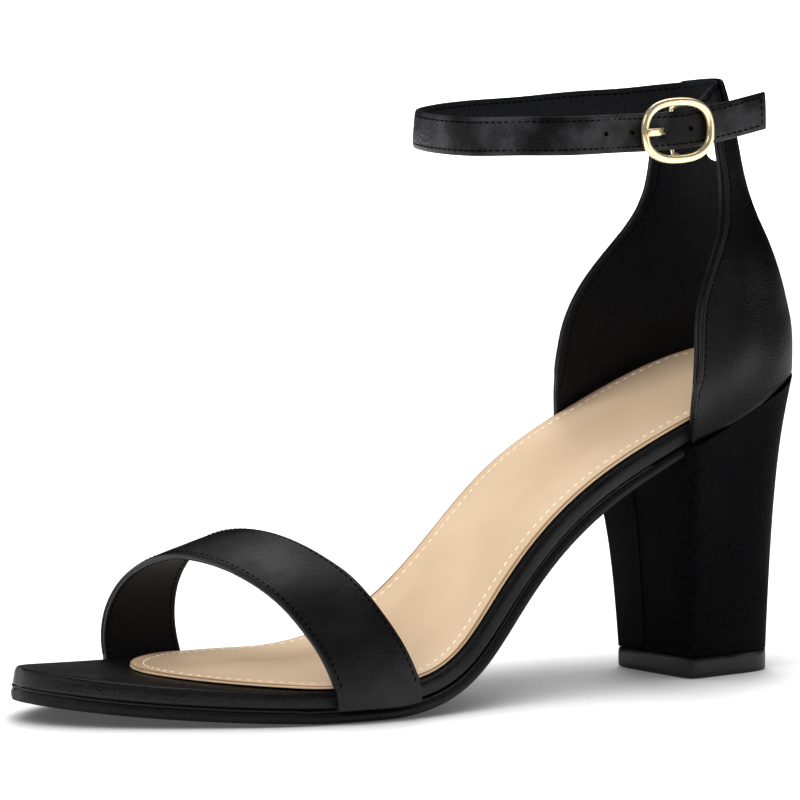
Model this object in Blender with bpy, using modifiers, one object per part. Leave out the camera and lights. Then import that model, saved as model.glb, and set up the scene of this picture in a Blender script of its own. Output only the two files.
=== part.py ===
"""Left block heel sandal with an ankle strap: its solids, in metres, +Z up.

The toe points to -Y and the outer side of the foot is +X. The origin is the middle of the heel
tip's base, on the floor, and the forefoot's flat spot lies on the same plane.
"""

import math

import bmesh
import bpy
import numpy as np
from mathutils import Vector

# Sole
SOLE_LENGTH = 0.2207
BALL_WIDTH = 0.0768
WAIST_WIDTH = 0.0492
SEAT_WIDTH = 0.0538
HEEL_RISE = 0.0792
TOE_SPRING = 0.0052
OUTSOLE_THICKNESS = 0.0032
OUTSOLE_EDGE = 0.0005
OUTSOLE_BEAD = 0.0011
BREAST_FADE = 0.0265
FOOTBED_THICKNESS = 0.0048
FOOTBED_ROUNDING = 0.0022
INSOLE_THICKNESS = 0.0010
INSOLE_INSET = 0.0014
INSOLE_TOE_MARGIN = 0.0320
INSOLE_NARROWING = 0.0400
INSOLE_TOE_POWER = 2.3
CLEARANCE = 0.0003

# Heel
SEAT_SETBACK = 0.0244
HEEL_TURN = math.radians(7.4)
TIP_WIDTH = 0.0304
TIP_FRONT = 0.0165
TIP_BACK = 0.0163
TIP_THICKNESS = 0.0055
HEEL_TOP_WIDTH = 0.0500
HEEL_TOP_FRONT = 0.0235
HEEL_TOP_BACK = 0.0222
HEEL_CORNER = 0.0012
HEEL_SIDE_REACH = 0.35
TIP_SQUARENESS = 3.2
SEAT_SQUARENESS = 2.3
TIP_CHAMFER = 0.0004

# Upper
VAMP_WALL = 0.0018
VAMP_FRONT_HEIGHT = 0.0306
VAMP_REAR_HEIGHT = 0.0362
VAMP_FRONT_MEDIAL = 0.1819
VAMP_FRONT_LATERAL = 0.1559
VAMP_REAR_MEDIAL = 0.1585
VAMP_REAR_LATERAL = 0.1329
VAMP_CROWN = 0.0003
VAMP_ROUND_MEDIAL_FRONT = 1.78
VAMP_ROUND_MEDIAL_REAR = 1.98
VAMP_ROUND_LATERAL = 2.05
VAMP_LEAN_FRONT = 0.0076
VAMP_LEAN_REAR = 0.0107
VAMP_SKEW = 0.10
COUNTER_WALL = 0.0018
COUNTER_DROP = 0.0051
WING_DROP = 0.0077
COUNTER_WIDTH = 0.0578
COUNTER_REACH = 0.0272
COUNTER_BACK = 0.0262
COUNTER_SQUARENESS = 0.92
COUNTER_CENTRE = 0.0050
COUNTER_BLEND = 0.0140
RIM_MARGIN = 0.0003
COUNTER_INNER_TRIM = 0.0058
WINDOW_WIDTH = 0.0125
WINDOW_DROP = 0.0171
WINDOW_CORNER = 0.0026

# Ankle strap and buckle
STRAP_WIDTH = 0.0098
STRAP_THICKNESS = 0.0016
STRAP_EDGE = 0.0004
STRAP_STEP = 0.0034
RING_LENGTH = 0.0920
RING_WIDTH = 0.0580
RING_BACK = 0.0035
STRAP_HEIGHT = 0.1531
RING_DROP = 0.0101
TAB_WIDTH = 0.0164
TAB_WALL = 0.0011
TAB_OVERLAP = 0.0020
TAB_RUNOUT = 0.0060
TAIL_LENGTH = 0.0278
TAIL_LIFT = 0.0036
TAIL_FLARE = 0.0006
SIDE_LEAN = 4.0
BILLET_HUMP = 0.0008
BUCKLE_LENGTH = 0.0222
BUCKLE_HEIGHT = 0.0168
BUCKLE_BAND = 0.0022
BUCKLE_THICKNESS = 0.0018
BAR_DIAMETER = 0.0014
BAR_MARGIN = 0.0002
BUCKLE_ROUNDNESS = 0.80
BUCKLE_BEVEL = 0.45
PRONG_WIDTH = 0.0021
PRONG_THICKNESS = 0.0012
BUCKLE_SIDE = 0.0320
BUCKLE_FORWARD = 0.0370
BUCKLE_CENTRE = 0.1446
BUCKLE_TURN = math.radians(8.0)
BUCKLE_PITCH = math.radians(3.0)

# Sole sections from the back of the seat to the toe: the place along the length, the share of the
# heel's rise and of the toe's spring, the half width as shares of the seat's, the waist's and the
# ball's half width, the centre's drift as a share of the ball's width, and the roll in degrees.
SOLE_ROWS = (
    # along  rise   spring  seat   waist  ball   drift   roll
    (0.000, 1.000, 0.000, 0.000, 0.000, 0.000, -0.045, -1.7),
    (0.034, 0.961, 0.000, 0.647, 0.000, 0.000, -0.044, -1.7),
    (0.077, 0.912, 0.000, 0.896, 0.000, 0.000, -0.042, -1.7),
    (0.127, 0.852, 0.000, 1.000, 0.000, 0.000, -0.040, -1.8),
    (0.190, 0.775, 0.000, 0.989, 0.000, 0.000, -0.043, -1.9),
    (0.254, 0.692, 0.000, 0.560, 0.440, 0.000, -0.042, -2.0),
    (0.344, 0.547, 0.000, 0.000, 1.000, 0.000, -0.022, -2.2),
    (0.438, 0.316, 0.000, 0.000, 0.990, 0.000, 0.018, -2.2),
    (0.488, 0.172, 0.000, 0.000, 0.700, 0.270, 0.023, -1.6),
    (0.540, 0.066, 0.000, 0.000, 0.300, 0.650, 0.012, -0.8),
    (0.611, 0.006, 0.000, 0.000, 0.000, 0.960, -0.016, -0.1),
    (0.693, 0.000, 0.000, 0.000, 0.000, 1.000, -0.046, 0.0),
    (0.765, 0.000, 0.100, 0.000, 0.000, 0.953, -0.070, 0.0),
    (0.846, 0.000, 0.290, 0.000, 0.000, 0.780, -0.094, 0.0),
    (0.938, 0.000, 0.650, 0.000, 0.000, 0.490, -0.111, 0.0),
    (1.000, 0.000, 1.000, 0.000, 0.000, 0.000, -0.124, 0.0),
)
# The forefoot's flat spot, as shares of the length.
FLAT_FROM = 0.622
FLAT_TO = 0.740

# Heel block, from the tip's top to the seat: how far each level has flared towards the seat.
HEEL_ROWS = (
    # level  flare
    (0.00, 0.00),
    (0.30, 0.12),
    (0.55, 0.27),
    (0.75, 0.47),
    (0.90, 0.74),
    (1.00, 1.00),
)

# Heel counter: the height as a share of its top's, the half width, the forward reach and the
# backward reach as shares of its own.
COUNTER_ROWS = (
    # height  width   front   back
    (0.405, 0.990, 1.015, 0.880),
    (0.486, 0.997, 1.015, 0.920),
    (0.540, 1.000, 0.989, 0.975),
    (0.574, 0.988, 0.970, 1.005),
    (0.607, 0.969, 0.949, 0.996),
    (0.641, 0.934, 0.915, 0.966),
    (0.675, 0.889, 0.850, 0.927),
    (0.709, 0.844, 0.743, 0.870),
    (0.742, 0.790, 0.614, 0.790),
    (0.776, 0.722, 0.474, 0.702),
    (0.810, 0.645, 0.345, 0.585),
    (0.844, 0.585, 0.268, 0.480),
    (0.877, 0.543, 0.232, 0.400),
    (0.911, 0.512, 0.226, 0.345),
    (0.945, 0.478, 0.232, 0.317),
    (1.000, 0.426, 0.228, 0.244),
)

# Ankle ring, in plan, from where the strap leaves the back tab round the inner side and
# the front to the buckle: the forward place as a share of the ring's length, the side as a share of
# its half width (outer side positive), the height lost as a share of the ring's drop, and the
# inward lean in degrees.
RING_ROWS = (
    # forward  side    drop   lean
    (0.190, -0.517, 0.231, 10.0),
    (0.332, -0.724, 0.324, 6.0),
    (0.495, -0.914, 0.472, 4.0),
    (0.647, -1.000, 0.560, 4.0),
    (0.799, -0.931, 0.680, 4.0),
    (0.913, -0.690, 0.780, 4.0),
    (0.978, -0.345, 0.870, 4.0),
    (1.000, 0.000, 0.940, 4.0),
    (0.978, 0.345, 0.990, 4.0),
    (0.913, 0.690, 0.975, 4.0),
    (0.799, 0.925, 0.970, 4.0),
    (0.665, 0.985, 0.925, 4.0),
)
# The narrow back of the ring, behind the counter's top, in the same columns.
BACK_ROWS = (
    # forward  side    drop   lean
    (0.195, 0.590, 0.470, 9.0),
    (0.082, 0.345, 0.160, 14.0),
    (0.022, 0.207, 0.050, 16.0),
    (0.000, 0.000, 0.000, 16.0),
    (0.022, -0.207, 0.050, 16.0),
    (0.082, -0.345, 0.110, 14.0),
)

# Prong, from the bar to its tip: the place along it, and how far it has come up from the bar's depth
# to lie over the frame.
PRONG_ROWS = (
    # along  raised
    (0.00, 0.00),
    (0.14, 0.00),
    (0.28, 0.24),
    (0.43, 0.55),
    (0.56, 0.91),
    (0.70, 1.00),
    (1.00, 1.00),
)
# Centre bar, from the frame's top to its middle: the depth as a share of the bar's, and the height
# as a share from the strap's edge (0) to the frame (1).
BAR_ROWS = (
    # depth  height
    (0.00, 1.00),
    (0.35, 0.15),
    (0.80, 0.00),
    (1.00, -0.60),
)

# Materials: colour, roughness, metallic.
FINISHES = {
    "satin": ((0.012, 0.012, 0.013), 0.38, 0.0),
    "sole_wrap": ((0.014, 0.014, 0.015), 0.42, 0.0),
    "sock_leather": ((0.72, 0.54, 0.37), 0.45, 0.0),
    "outsole_rubber": ((0.020, 0.020, 0.021), 0.60, 0.0),
    "tip_plastic": ((0.045, 0.045, 0.047), 0.50, 0.0),
    "pale_gold": ((0.86, 0.70, 0.46), 0.18, 1.0),
}


def smooth(places, values):
    """Natural cubic spline through the rows of a table, as a function of the place."""
    xs = np.array(places, float)
    ys = np.array(values, float)
    steps = np.diff(xs)
    count = len(xs)
    matrix = np.eye(count)
    right = np.zeros(count)
    for i in range(1, count - 1):
        matrix[i, i - 1] = steps[i - 1]
        matrix[i, i] = 2 * (steps[i - 1] + steps[i])
        matrix[i, i + 1] = steps[i]
        right[i] = 6 * ((ys[i + 1] - ys[i]) / steps[i] - (ys[i] - ys[i - 1]) / steps[i - 1])
    bend = np.linalg.solve(matrix, right)

    def at(x):
        i = int(np.clip(np.searchsorted(xs, x) - 1, 0, count - 2))
        after = xs[i + 1] - x
        before = x - xs[i]
        low = ys[i] / steps[i] - bend[i] * steps[i] / 6
        high = ys[i + 1] / steps[i] - bend[i + 1] * steps[i] / 6
        cubic = (bend[i] * after ** 3 + bend[i + 1] * before ** 3) / (6 * steps[i])
        return cubic + low * after + high * before

    return at


def columns(rows):
    """The columns of a table, each as a list."""
    return [list(column) for column in zip(*rows)]


ALONG, RISE, SPRING, SEAT, WAIST, BALL, DRIFT, ROLL = columns(SOLE_ROWS)
SQUARES = [
    (seat * SEAT_WIDTH / 2 + waist * WAIST_WIDTH / 2 + ball * BALL_WIDTH / 2) ** 2
    for seat, waist, ball in zip(SEAT, WAIST, BALL)
]
rise_at = smooth(ALONG, RISE)
spring_at = smooth(ALONG, SPRING)
square_at = smooth(ALONG, SQUARES)
drift_at = smooth(ALONG, DRIFT)
roll_at = smooth(ALONG, ROLL)


def half_width(share):
    """Half the footbed's width at a share of the sole's length."""
    return math.sqrt(max(square_at(share), 0.0))


def bed_height(share):
    """Height of the footbed's underside on the middle line."""
    stack = OUTSOLE_THICKNESS + CLEARANCE
    if FLAT_FROM <= share <= FLAT_TO:
        return stack
    rise = HEEL_RISE * rise_at(share) if share < FLAT_FROM else 0.0
    spring = TOE_SPRING * spring_at(share) if share > FLAT_TO else 0.0
    return stack + max(rise, 0.0) + max(spring, 0.0)


def sole_point(share, across, lift):
    """Point of the sole: across from the middle line (outer side positive), lift off the footbed's underside."""
    step = 0.004
    before = bed_height(max(share - step, 0.0))
    after = bed_height(min(share + step, 1.0))
    run = (min(share + step, 1.0) - max(share - step, 0.0)) * SOLE_LENGTH
    slope = math.atan2(after - before, run)
    forward = share * SOLE_LENGTH - lift * math.sin(slope)
    tilt = across * math.tan(math.radians(roll_at(share)))
    up = bed_height(share) + tilt + lift * math.cos(slope)
    return Vector((drift_at(share) * BALL_WIDTH + across, SEAT_SETBACK - forward, up))


def seat_height(x, y):
    """Height of the footbed's underside over a point of the floor."""
    share = (SEAT_SETBACK - y) / SOLE_LENGTH
    share = min(max(share, 0.0), 1.0)
    across = x - drift_at(share) * BALL_WIDTH
    return bed_height(share) + across * math.tan(math.radians(roll_at(share)))


def heel_frame(side, forward, up):
    """Point given in the heel's own frame, which is turned outwards from the sole's line."""
    cos_turn = math.cos(HEEL_TURN)
    sin_turn = math.sin(HEEL_TURN)
    return Vector((side * cos_turn + forward * sin_turn, side * sin_turn - forward * cos_turn, up))


def finish(name):
    """The material of a finish, made once."""
    existing = bpy.data.materials.get(name)
    if existing:
        return existing
    colour, roughness, metallic = FINISHES[name]
    material = bpy.data.materials.new(name)
    material.use_nodes = True
    shader = material.node_tree.nodes["Principled BSDF"]
    shader.inputs["Base Color"].default_value = (*colour, 1.0)
    shader.inputs["Roughness"].default_value = roughness
    shader.inputs["Metallic"].default_value = metallic
    material.diffuse_color = (*colour, 1.0)
    return material


def add_object(name, mesh, finish_name, collection):
    """Object with its finish, in a collection."""
    item = bpy.data.objects.new(name, mesh)
    mesh.materials.append(finish(finish_name))
    collection.objects.link(item)
    return item


def loft_mesh(name, rings, capped=True):
    """Mesh between closed rings of equally many points, with both ends closed."""
    work = bmesh.new()
    rows = [[work.verts.new(point) for point in ring] for ring in rings]
    for first, second in zip(rows, rows[1:]):
        for i in range(len(first)):
            j = (i + 1) % len(first)
            work.faces.new((first[i], first[j], second[j], second[i]))
    if capped:
        work.faces.new(rows[0])
        work.faces.new(rows[-1][::-1])
    bmesh.ops.recalc_face_normals(work, faces=work.faces)
    mesh = bpy.data.meshes.new(name)
    work.to_mesh(mesh)
    work.free()
    mesh.shade_smooth()
    mesh.set_sharp_from_angle(angle=math.radians(40))
    return mesh


def sheet_mesh(name, rows):
    """Open surface through rows of equally many points."""
    work = bmesh.new()
    grid = [[work.verts.new(point) for point in row] for row in rows]
    for first, second in zip(grid, grid[1:]):
        for i in range(len(first) - 1):
            work.faces.new((first[i], first[i + 1], second[i + 1], second[i]))
    mesh = bpy.data.meshes.new(name)
    work.to_mesh(mesh)
    work.free()
    mesh.shade_smooth()
    return mesh


def spread(start, end, count):
    """Places from start to end, closer together near both ends."""
    middle = (start + end) / 2
    reach = (end - start) / 2
    return [middle - reach * math.cos(math.pi * i / (count - 1)) for i in range(count)]


def footbed(collection):
    """Insole board wrapped in satin: flat below, rounded along its upper edge."""
    rings = []
    for share in spread(0.0008, 0.9992, 46):
        half = half_width(share)
        round_side = min(FOOTBED_ROUNDING, 0.6 * half)
        profile = [(-half, 0.0), (-half, FOOTBED_THICKNESS - round_side)]
        for angle in (30, 60, 90):
            turn = math.radians(angle)
            inward = round_side * (1 - math.cos(turn))
            profile.append((-half + inward, FOOTBED_THICKNESS - round_side * (1 - math.sin(turn))))
        profile += [(-across, lift) for across, lift in reversed(profile)]
        rings.append([sole_point(share, across, lift) for across, lift in profile])
    return add_object("footbed", loft_mesh("footbed", rings), "sole_wrap", collection)


def outsole(collection):
    """Rubber outsole, from the toe to the heel's breast."""
    slope = math.tan(HEEL_TURN)
    reach = (HEEL_TOP_FRONT + CLEARANCE) / math.cos(HEEL_TURN)
    breast = (SEAT_SETBACK + reach) / SOLE_LENGTH
    breast -= drift_at(breast) * BALL_WIDTH * slope / SOLE_LENGTH
    rings = []
    squaring = None
    for share in spread(breast, 0.9992, 40):
        half = half_width(share) + OUTSOLE_EDGE
        fade = (1 - min((share - breast) * SOLE_LENGTH / BREAST_FADE, 1.0)) ** 2
        inner = max(half - OUTSOLE_BEAD, 0.5 * half)
        profile = [
            (-inner, -CLEARANCE),
            (-half, -CLEARANCE - OUTSOLE_BEAD),
            (-half, -CLEARANCE - OUTSOLE_THICKNESS + OUTSOLE_BEAD),
            (-inner, -CLEARANCE - OUTSOLE_THICKNESS),
        ]
        profile += [(-across, lift) for across, lift in reversed(profile)]
        ring = [sole_point(share - across * slope * fade / SOLE_LENGTH, across, lift) for across, lift in profile]
        if squaring is None:
            squaring = [min(point.x * slope - reach - point.y, 0.0) for point in ring]
        for point, shift in zip(ring, squaring):
            point.y += shift * fade
        rings.append(ring)
    return add_object("outsole", loft_mesh("outsole", rings), "outsole_rubber", collection)


def insole(collection):
    """Tan sock lining on the footbed, with its own rounded toe end."""
    bottom = FOOTBED_THICKNESS + CLEARANCE
    last = 1.0 - INSOLE_TOE_MARGIN / SOLE_LENGTH
    narrowing = last - INSOLE_NARROWING / SOLE_LENGTH
    first = INSOLE_INSET / SOLE_LENGTH
    rings = []
    for share in spread(first + 0.0008, last - 0.0006, 40):
        half = half_width(share) - INSOLE_INSET
        if share > narrowing:
            gone = (share - narrowing) / (last - narrowing)
            half *= math.sqrt(1 - gone ** INSOLE_TOE_POWER)
        half = max(half, 0.0012)
        profile = [(-half, bottom), (-half, bottom + INSOLE_THICKNESS * 0.5)]
        profile.append((-half + 0.4 * INSOLE_THICKNESS, bottom + INSOLE_THICKNESS))
        profile += [(-across, lift) for across, lift in reversed(profile)]
        rings.append([sole_point(share, across, lift) for across, lift in profile])
    return add_object("insole", loft_mesh("insole", rings), "sock_leather", collection)


def heel_outline(flare):
    """Heel's outline seen from above, for a flare from the tip (0) to the seat (1)."""
    half = (TIP_WIDTH + flare * (HEEL_TOP_WIDTH - TIP_WIDTH)) / 2
    front = TIP_FRONT + flare * (HEEL_TOP_FRONT - TIP_FRONT)
    back = TIP_BACK + flare * (HEEL_TOP_BACK - TIP_BACK)
    squareness = TIP_SQUARENESS + flare * (SEAT_SQUARENESS - TIP_SQUARENESS)
    corner = HEEL_CORNER
    outline = [(-half + corner, front), (half - corner, front), (half, front - corner), (half, front * HEEL_SIDE_REACH)]
    steps = 14
    for i in range(steps + 1):
        turn = math.pi * i / steps
        side = math.copysign(abs(math.cos(turn)) ** (2 / squareness), math.cos(turn))
        rear = abs(math.sin(turn)) ** (2 / squareness)
        outline.append((half * side, -back * rear))
    outline += [(-half, front * HEEL_SIDE_REACH), (-half, front - corner)]
    return outline


def heel_tip(collection):
    """Plastic top piece that the heel stands on."""
    rings = []
    for shrink, up in ((TIP_CHAMFER, 0.0), (0.0, TIP_CHAMFER), (0.0, TIP_THICKNESS)):
        scale = 1 - 2 * shrink / TIP_WIDTH
        rings.append([heel_frame(s * scale, f * scale, up) for s, f in heel_outline(0.0)])
    return add_object("heel_tip", loft_mesh("heel_tip", rings), "tip_plastic", collection)


def heel_block(collection):
    """Satin wrapped block from the tip up to the footbed's underside."""
    flare_at = smooth(*columns(HEEL_ROWS))
    bottom = TIP_THICKNESS + CLEARANCE
    top_outline = heel_outline(1.0)
    rings = []
    for level in np.linspace(0.0, 1.0, 8):
        ring = []
        for (side, forward), (top_side, top_forward) in zip(heel_outline(flare_at(level)), top_outline):
            seat = heel_frame(top_side, top_forward, 0.0)
            top = seat_height(seat.x, seat.y) - CLEARANCE
            ring.append(heel_frame(side, forward, bottom + level * (top - bottom)))
        rings.append(ring)
    return add_object("heel_block", loft_mesh("heel_block", rings), "satin", collection)


def vamp_point(depth, turn):
    """Point of the vamp strap's middle surface: depth 0 at the front edge, 1 at the rear edge."""
    medial = VAMP_FRONT_MEDIAL + depth * (VAMP_REAR_MEDIAL - VAMP_FRONT_MEDIAL)
    lateral = VAMP_FRONT_LATERAL + depth * (VAMP_REAR_LATERAL - VAMP_FRONT_LATERAL)
    height = VAMP_FRONT_HEIGHT + depth * (VAMP_REAR_HEIGHT - VAMP_FRONT_HEIGHT)
    height += VAMP_CROWN * math.sin(math.pi * depth)
    roundness = VAMP_ROUND_LATERAL
    if math.cos(turn) < 0:
        roundness = VAMP_ROUND_MEDIAL_FRONT + depth * (VAMP_ROUND_MEDIAL_REAR - VAMP_ROUND_MEDIAL_FRONT)
    lean = VAMP_LEAN_FRONT + depth * (VAMP_LEAN_REAR - VAMP_LEAN_FRONT)
    across = math.copysign(abs(math.cos(turn)) ** (2 / roundness), math.cos(turn))
    up = abs(math.sin(turn)) ** (2 / roundness)
    share = (across + 1) / 2
    forward = medial + (lateral - medial) * share
    margin = CLEARANCE + VAMP_WALL / 2
    foot_medial = sole_point(medial / SOLE_LENGTH, -half_width(medial / SOLE_LENGTH) - margin, 0.0)
    foot_lateral = sole_point(lateral / SOLE_LENGTH, half_width(lateral / SOLE_LENGTH) + margin, 0.0)
    middle = (foot_medial.x + foot_lateral.x) / 2
    half = (foot_lateral.x - foot_medial.x) / 2
    spring_line = bed_height(forward / SOLE_LENGTH) + FOOTBED_THICKNESS - 0.4 * FOOTBED_ROUNDING
    return Vector((
        middle + half * across - VAMP_SKEW * height * up,
        SEAT_SETBACK - forward - lean * up,
        spring_line + height * up,
    ))


def vamp_strap(collection):
    """Broad band over the toes, down past the footbed's edges on both sides."""
    rows = []
    for depth in np.linspace(0.0, 1.0, 6):
        row = [vamp_point(depth, math.pi * (1 - i / 30)) for i in range(31)]
        for end in (0, -1):
            foot = row[end].copy()
            foot.z -= FOOTBED_THICKNESS - 0.4 * FOOTBED_ROUNDING
            row.insert(0 if end == 0 else len(row), foot)
        rows.append(row)
    item = add_object("vamp_strap", sheet_mesh("vamp_strap", rows), "satin", collection)
    wall = item.modifiers.new("wall", "SOLIDIFY")
    wall.thickness = VAMP_WALL
    wall.offset = 0.0
    wall.use_even_offset = True
    return item


def footbed_rim(share, side):
    """Point beside the footbed's edge, in plan, where the counter's outer face stands."""
    step = 0.002
    first = max(share - step, 0.0)
    last = share + step
    along = Vector((
        drift_at(last) * BALL_WIDTH + side * half_width(last) - drift_at(first) * BALL_WIDTH - side * half_width(first),
        -(last - first) * SOLE_LENGTH,
    ))
    outward = Vector((-along.y, along.x)).normalized() * side
    edge = Vector((drift_at(share) * BALL_WIDTH + side * half_width(share), SEAT_SETBACK - share * SOLE_LENGTH))
    return edge + outward * (CLEARANCE + RIM_MARGIN + COUNTER_WALL)


def rim_outline():
    """The counter's outer line at the footbed, from the outer side round the back to the inner side."""
    shares = [0.30 * (1 - math.cos(math.pi * i / 80)) for i in range(1, 41)]
    lateral = [footbed_rim(share, 1.0) for share in reversed(shares)]
    medial = [footbed_rim(share, -1.0) for share in shares]
    return lateral + medial


RIM = rim_outline()
COUNTER_TOP = STRAP_HEIGHT - COUNTER_DROP
WING_TOP = STRAP_HEIGHT - WING_DROP
COUNTER_HEIGHTS, COUNTER_HALVES, COUNTER_FRONTS, COUNTER_BACKS = columns(COUNTER_ROWS)
COUNTER_LEVELS = [share * COUNTER_TOP for share in COUNTER_HEIGHTS]
counter_half_at = smooth(COUNTER_LEVELS, [share * COUNTER_WIDTH / 2 for share in COUNTER_HALVES])
counter_front_at = smooth(COUNTER_LEVELS, [share * COUNTER_REACH for share in COUNTER_FRONTS])
counter_back_at = smooth(COUNTER_LEVELS, [share * COUNTER_BACK for share in COUNTER_BACKS])


def rim_distance(centre, towards):
    """Distance from a plan point to the rim outline, in a direction."""
    best = None
    for first, second in zip(RIM, RIM[1:]):
        edge = second - first
        cross = towards.x * edge.y - towards.y * edge.x
        if abs(cross) < 1e-12:
            continue
        gap = first - centre
        distance = (gap.x * edge.y - gap.y * edge.x) / cross
        place = (gap.x * towards.y - gap.y * towards.x) / cross
        if distance > 0 and -0.001 <= place <= 1.001:
            best = distance if best is None else min(best, distance)
    return best


def counter_point(turn, up):
    """Point of the counter's outer face: turn 0 at the outer front edge, 180 degrees at the inner one."""
    front = counter_front_at(up)
    depth = front + counter_back_at(up)
    side = counter_half_at(up) * math.copysign(abs(math.cos(turn)) ** COUNTER_SQUARENESS, math.cos(turn))
    forward = front - depth * abs(math.sin(turn)) ** COUNTER_SQUARENESS
    place = heel_frame(side, forward, up)
    middle = COUNTER_CENTRE if side > 0 else max(COUNTER_CENTRE, forward)
    centre = heel_frame(0.0, middle, up)
    above = (up - seat_height(place.x, place.y) - FOOTBED_THICKNESS) / COUNTER_BLEND
    share = min(max(above, 0.0), 1.0)
    share = share * share * (3 - 2 * share)
    if share < 1.0:
        if side < 0 and forward > COUNTER_CENTRE:
            trim = COUNTER_INNER_TRIM * (1 - share) * (forward - COUNTER_CENTRE) / (front - COUNTER_CENTRE)
            place = heel_frame(side, forward - trim, up)
            centre = heel_frame(0.0, max(COUNTER_CENTRE, forward - trim), up)
        reach = (place - centre).xy
        rim = rim_distance(centre.xy, reach.normalized())
        if rim:
            length = rim + share * (reach.length - rim)
            place = Vector((*(centre.xy + reach.normalized() * length), up))
    return place


def counter_bottom(turn):
    """Height of the counter's lower edge, level with the footbed's underside."""
    up = 0.5 * COUNTER_TOP
    for _ in range(12):
        place = counter_point(turn, up)
        up = seat_height(place.x, place.y)
    return up


def cutter_object(name, mesh, cutters):
    """Helper solid that cuts or joins, left out of the finished object."""
    item = bpy.data.objects.new(name, mesh)
    item.hide_render = True
    item.display_type = "WIRE"
    cutters.objects.link(item)
    return item


def combine(item, helper, operation):
    """Boolean modifier of one helper on a piece."""
    step = item.modifiers.new(helper.name, "BOOLEAN")
    step.object = helper
    step.operation = operation
    step.solver = "EXACT"


def window_mesh():
    """Rounded window through the counter's back, just below the strap."""
    top = STRAP_HEIGHT - STRAP_WIDTH / 2 - CLEARANCE - TAB_WALL
    bottom = STRAP_HEIGHT - WINDOW_DROP
    half = WINDOW_WIDTH / 2
    corner = WINDOW_CORNER
    outline = []
    for side, up, start in ((1, top, 0), (-1, top, 90), (-1, bottom, 180), (1, bottom, 270)):
        centre_side = side * (half - corner)
        centre_up = up - corner if up == top else up + corner
        for angle in (0, 30, 60, 90):
            turn = math.radians(start + angle)
            outline.append((centre_side + corner * math.cos(turn), centre_up + corner * math.sin(turn)))
    rings = []
    for forward in (-COUNTER_BACK, 0.0):
        rings.append([heel_frame(side, forward, up) for side, up in outline])
    return loft_mesh("window_cutter", rings)


def heel_counter(collection, cutters):
    """Closed back of the upper: a wall round the heel with a window and a tab behind the strap."""
    turns = [math.pi * i / 32 for i in range(33)]
    bottoms = [counter_bottom(turn) for turn in turns]
    levels = 15
    rows = []
    for level in range(levels + 1):
        row = []
        for turn, bottom in zip(turns, bottoms):
            rise = math.sin(turn) ** 3
            top = WING_TOP + rise * (COUNTER_TOP - WING_TOP)
            row.append(counter_point(turn, bottom + (top - bottom) * level / levels))
        rows.append(row)
    item = add_object("heel_counter", sheet_mesh("heel_counter", rows), "satin", collection)
    wall = item.modifiers.new("wall", "SOLIDIFY")
    wall.thickness = COUNTER_WALL
    wall.offset = -1.0
    wall.use_even_offset = True
    around = tab_range()
    inner = STRAP_THICKNESS / 2 + CLEARANCE
    outer = inner + TAB_WALL
    low = -STRAP_WIDTH / 2 - TAB_OVERLAP
    high = STRAP_WIDTH / 2
    profile = [(outer, high - STRAP_EDGE), (outer - STRAP_EDGE, high), (inner, high), (inner, low), (outer, low)]
    tab = band_rings(around, profile)
    combine(item, cutter_object("strap_tab", loft_mesh("strap_tab", tab), cutters), "UNION")
    longer = (around[0] - TAB_RUNOUT, around[1] + TAB_RUNOUT)
    tunnel = strap_rings(longer, STRAP_WIDTH + 2 * CLEARANCE, STRAP_THICKNESS + 2 * CLEARANCE, STRAP_EDGE)
    combine(item, cutter_object("strap_way", loft_mesh("strap_way", tunnel), cutters), "DIFFERENCE")
    combine(item, cutter_object("window", window_mesh(), cutters), "DIFFERENCE")
    return item


def buckle_point(along, out, up):
    """Point in the buckle's own frame: along the strap to the back, outwards, and up."""
    cos_turn = math.cos(BUCKLE_TURN)
    sin_turn = math.sin(BUCKLE_TURN)
    leant = out - up * math.tan(math.radians(SIDE_LEAN))
    side = BUCKLE_SIDE + along * sin_turn + leant * cos_turn
    forward = BUCKLE_FORWARD - along * cos_turn + leant * sin_turn
    return side, forward, BUCKLE_CENTRE + up + along * math.tan(BUCKLE_PITCH)


# How deep each layer lies below the buckle frame's middle plane.
BILLET_DEPTH = BUCKLE_THICKNESS / 2 + CLEARANCE + STRAP_THICKNESS / 2
HUMP_DEPTH = BILLET_DEPTH - BILLET_HUMP
BAR_DEPTH = HUMP_DEPTH + STRAP_THICKNESS / 2 + CLEARANCE + BAR_DIAMETER / 2
CHAPE_DEPTH = BAR_DEPTH + BAR_DIAMETER / 2 + CLEARANCE + STRAP_THICKNESS / 2


def strap_rows():
    """The strap's middle line from the chape's end round the back and the front to the tail's end."""
    side_bar = (BUCKLE_LENGTH - BUCKLE_BAND) / 2
    rows = [(*buckle_point(-BAR_DIAMETER / 2, -CHAPE_DEPTH, 0.0), SIDE_LEAN)]
    for forward, side, drop, lean in BACK_ROWS + RING_ROWS:
        rows.append((
            side * RING_WIDTH / 2,
            forward * RING_LENGTH - RING_BACK,
            STRAP_HEIGHT - drop * RING_DROP,
            lean,
        ))
    rows.append((*buckle_point(-side_bar, -BILLET_DEPTH, 0.0), SIDE_LEAN))
    rows.append((*buckle_point(0.0, -HUMP_DEPTH, 0.0), SIDE_LEAN))
    rows.append((*buckle_point(side_bar, -BILLET_DEPTH, 0.2 * TAIL_LIFT), SIDE_LEAN))
    rows.append((*buckle_point(TAIL_LENGTH, -BILLET_DEPTH + TAIL_FLARE, TAIL_LIFT), SIDE_LEAN))
    return rows


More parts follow.
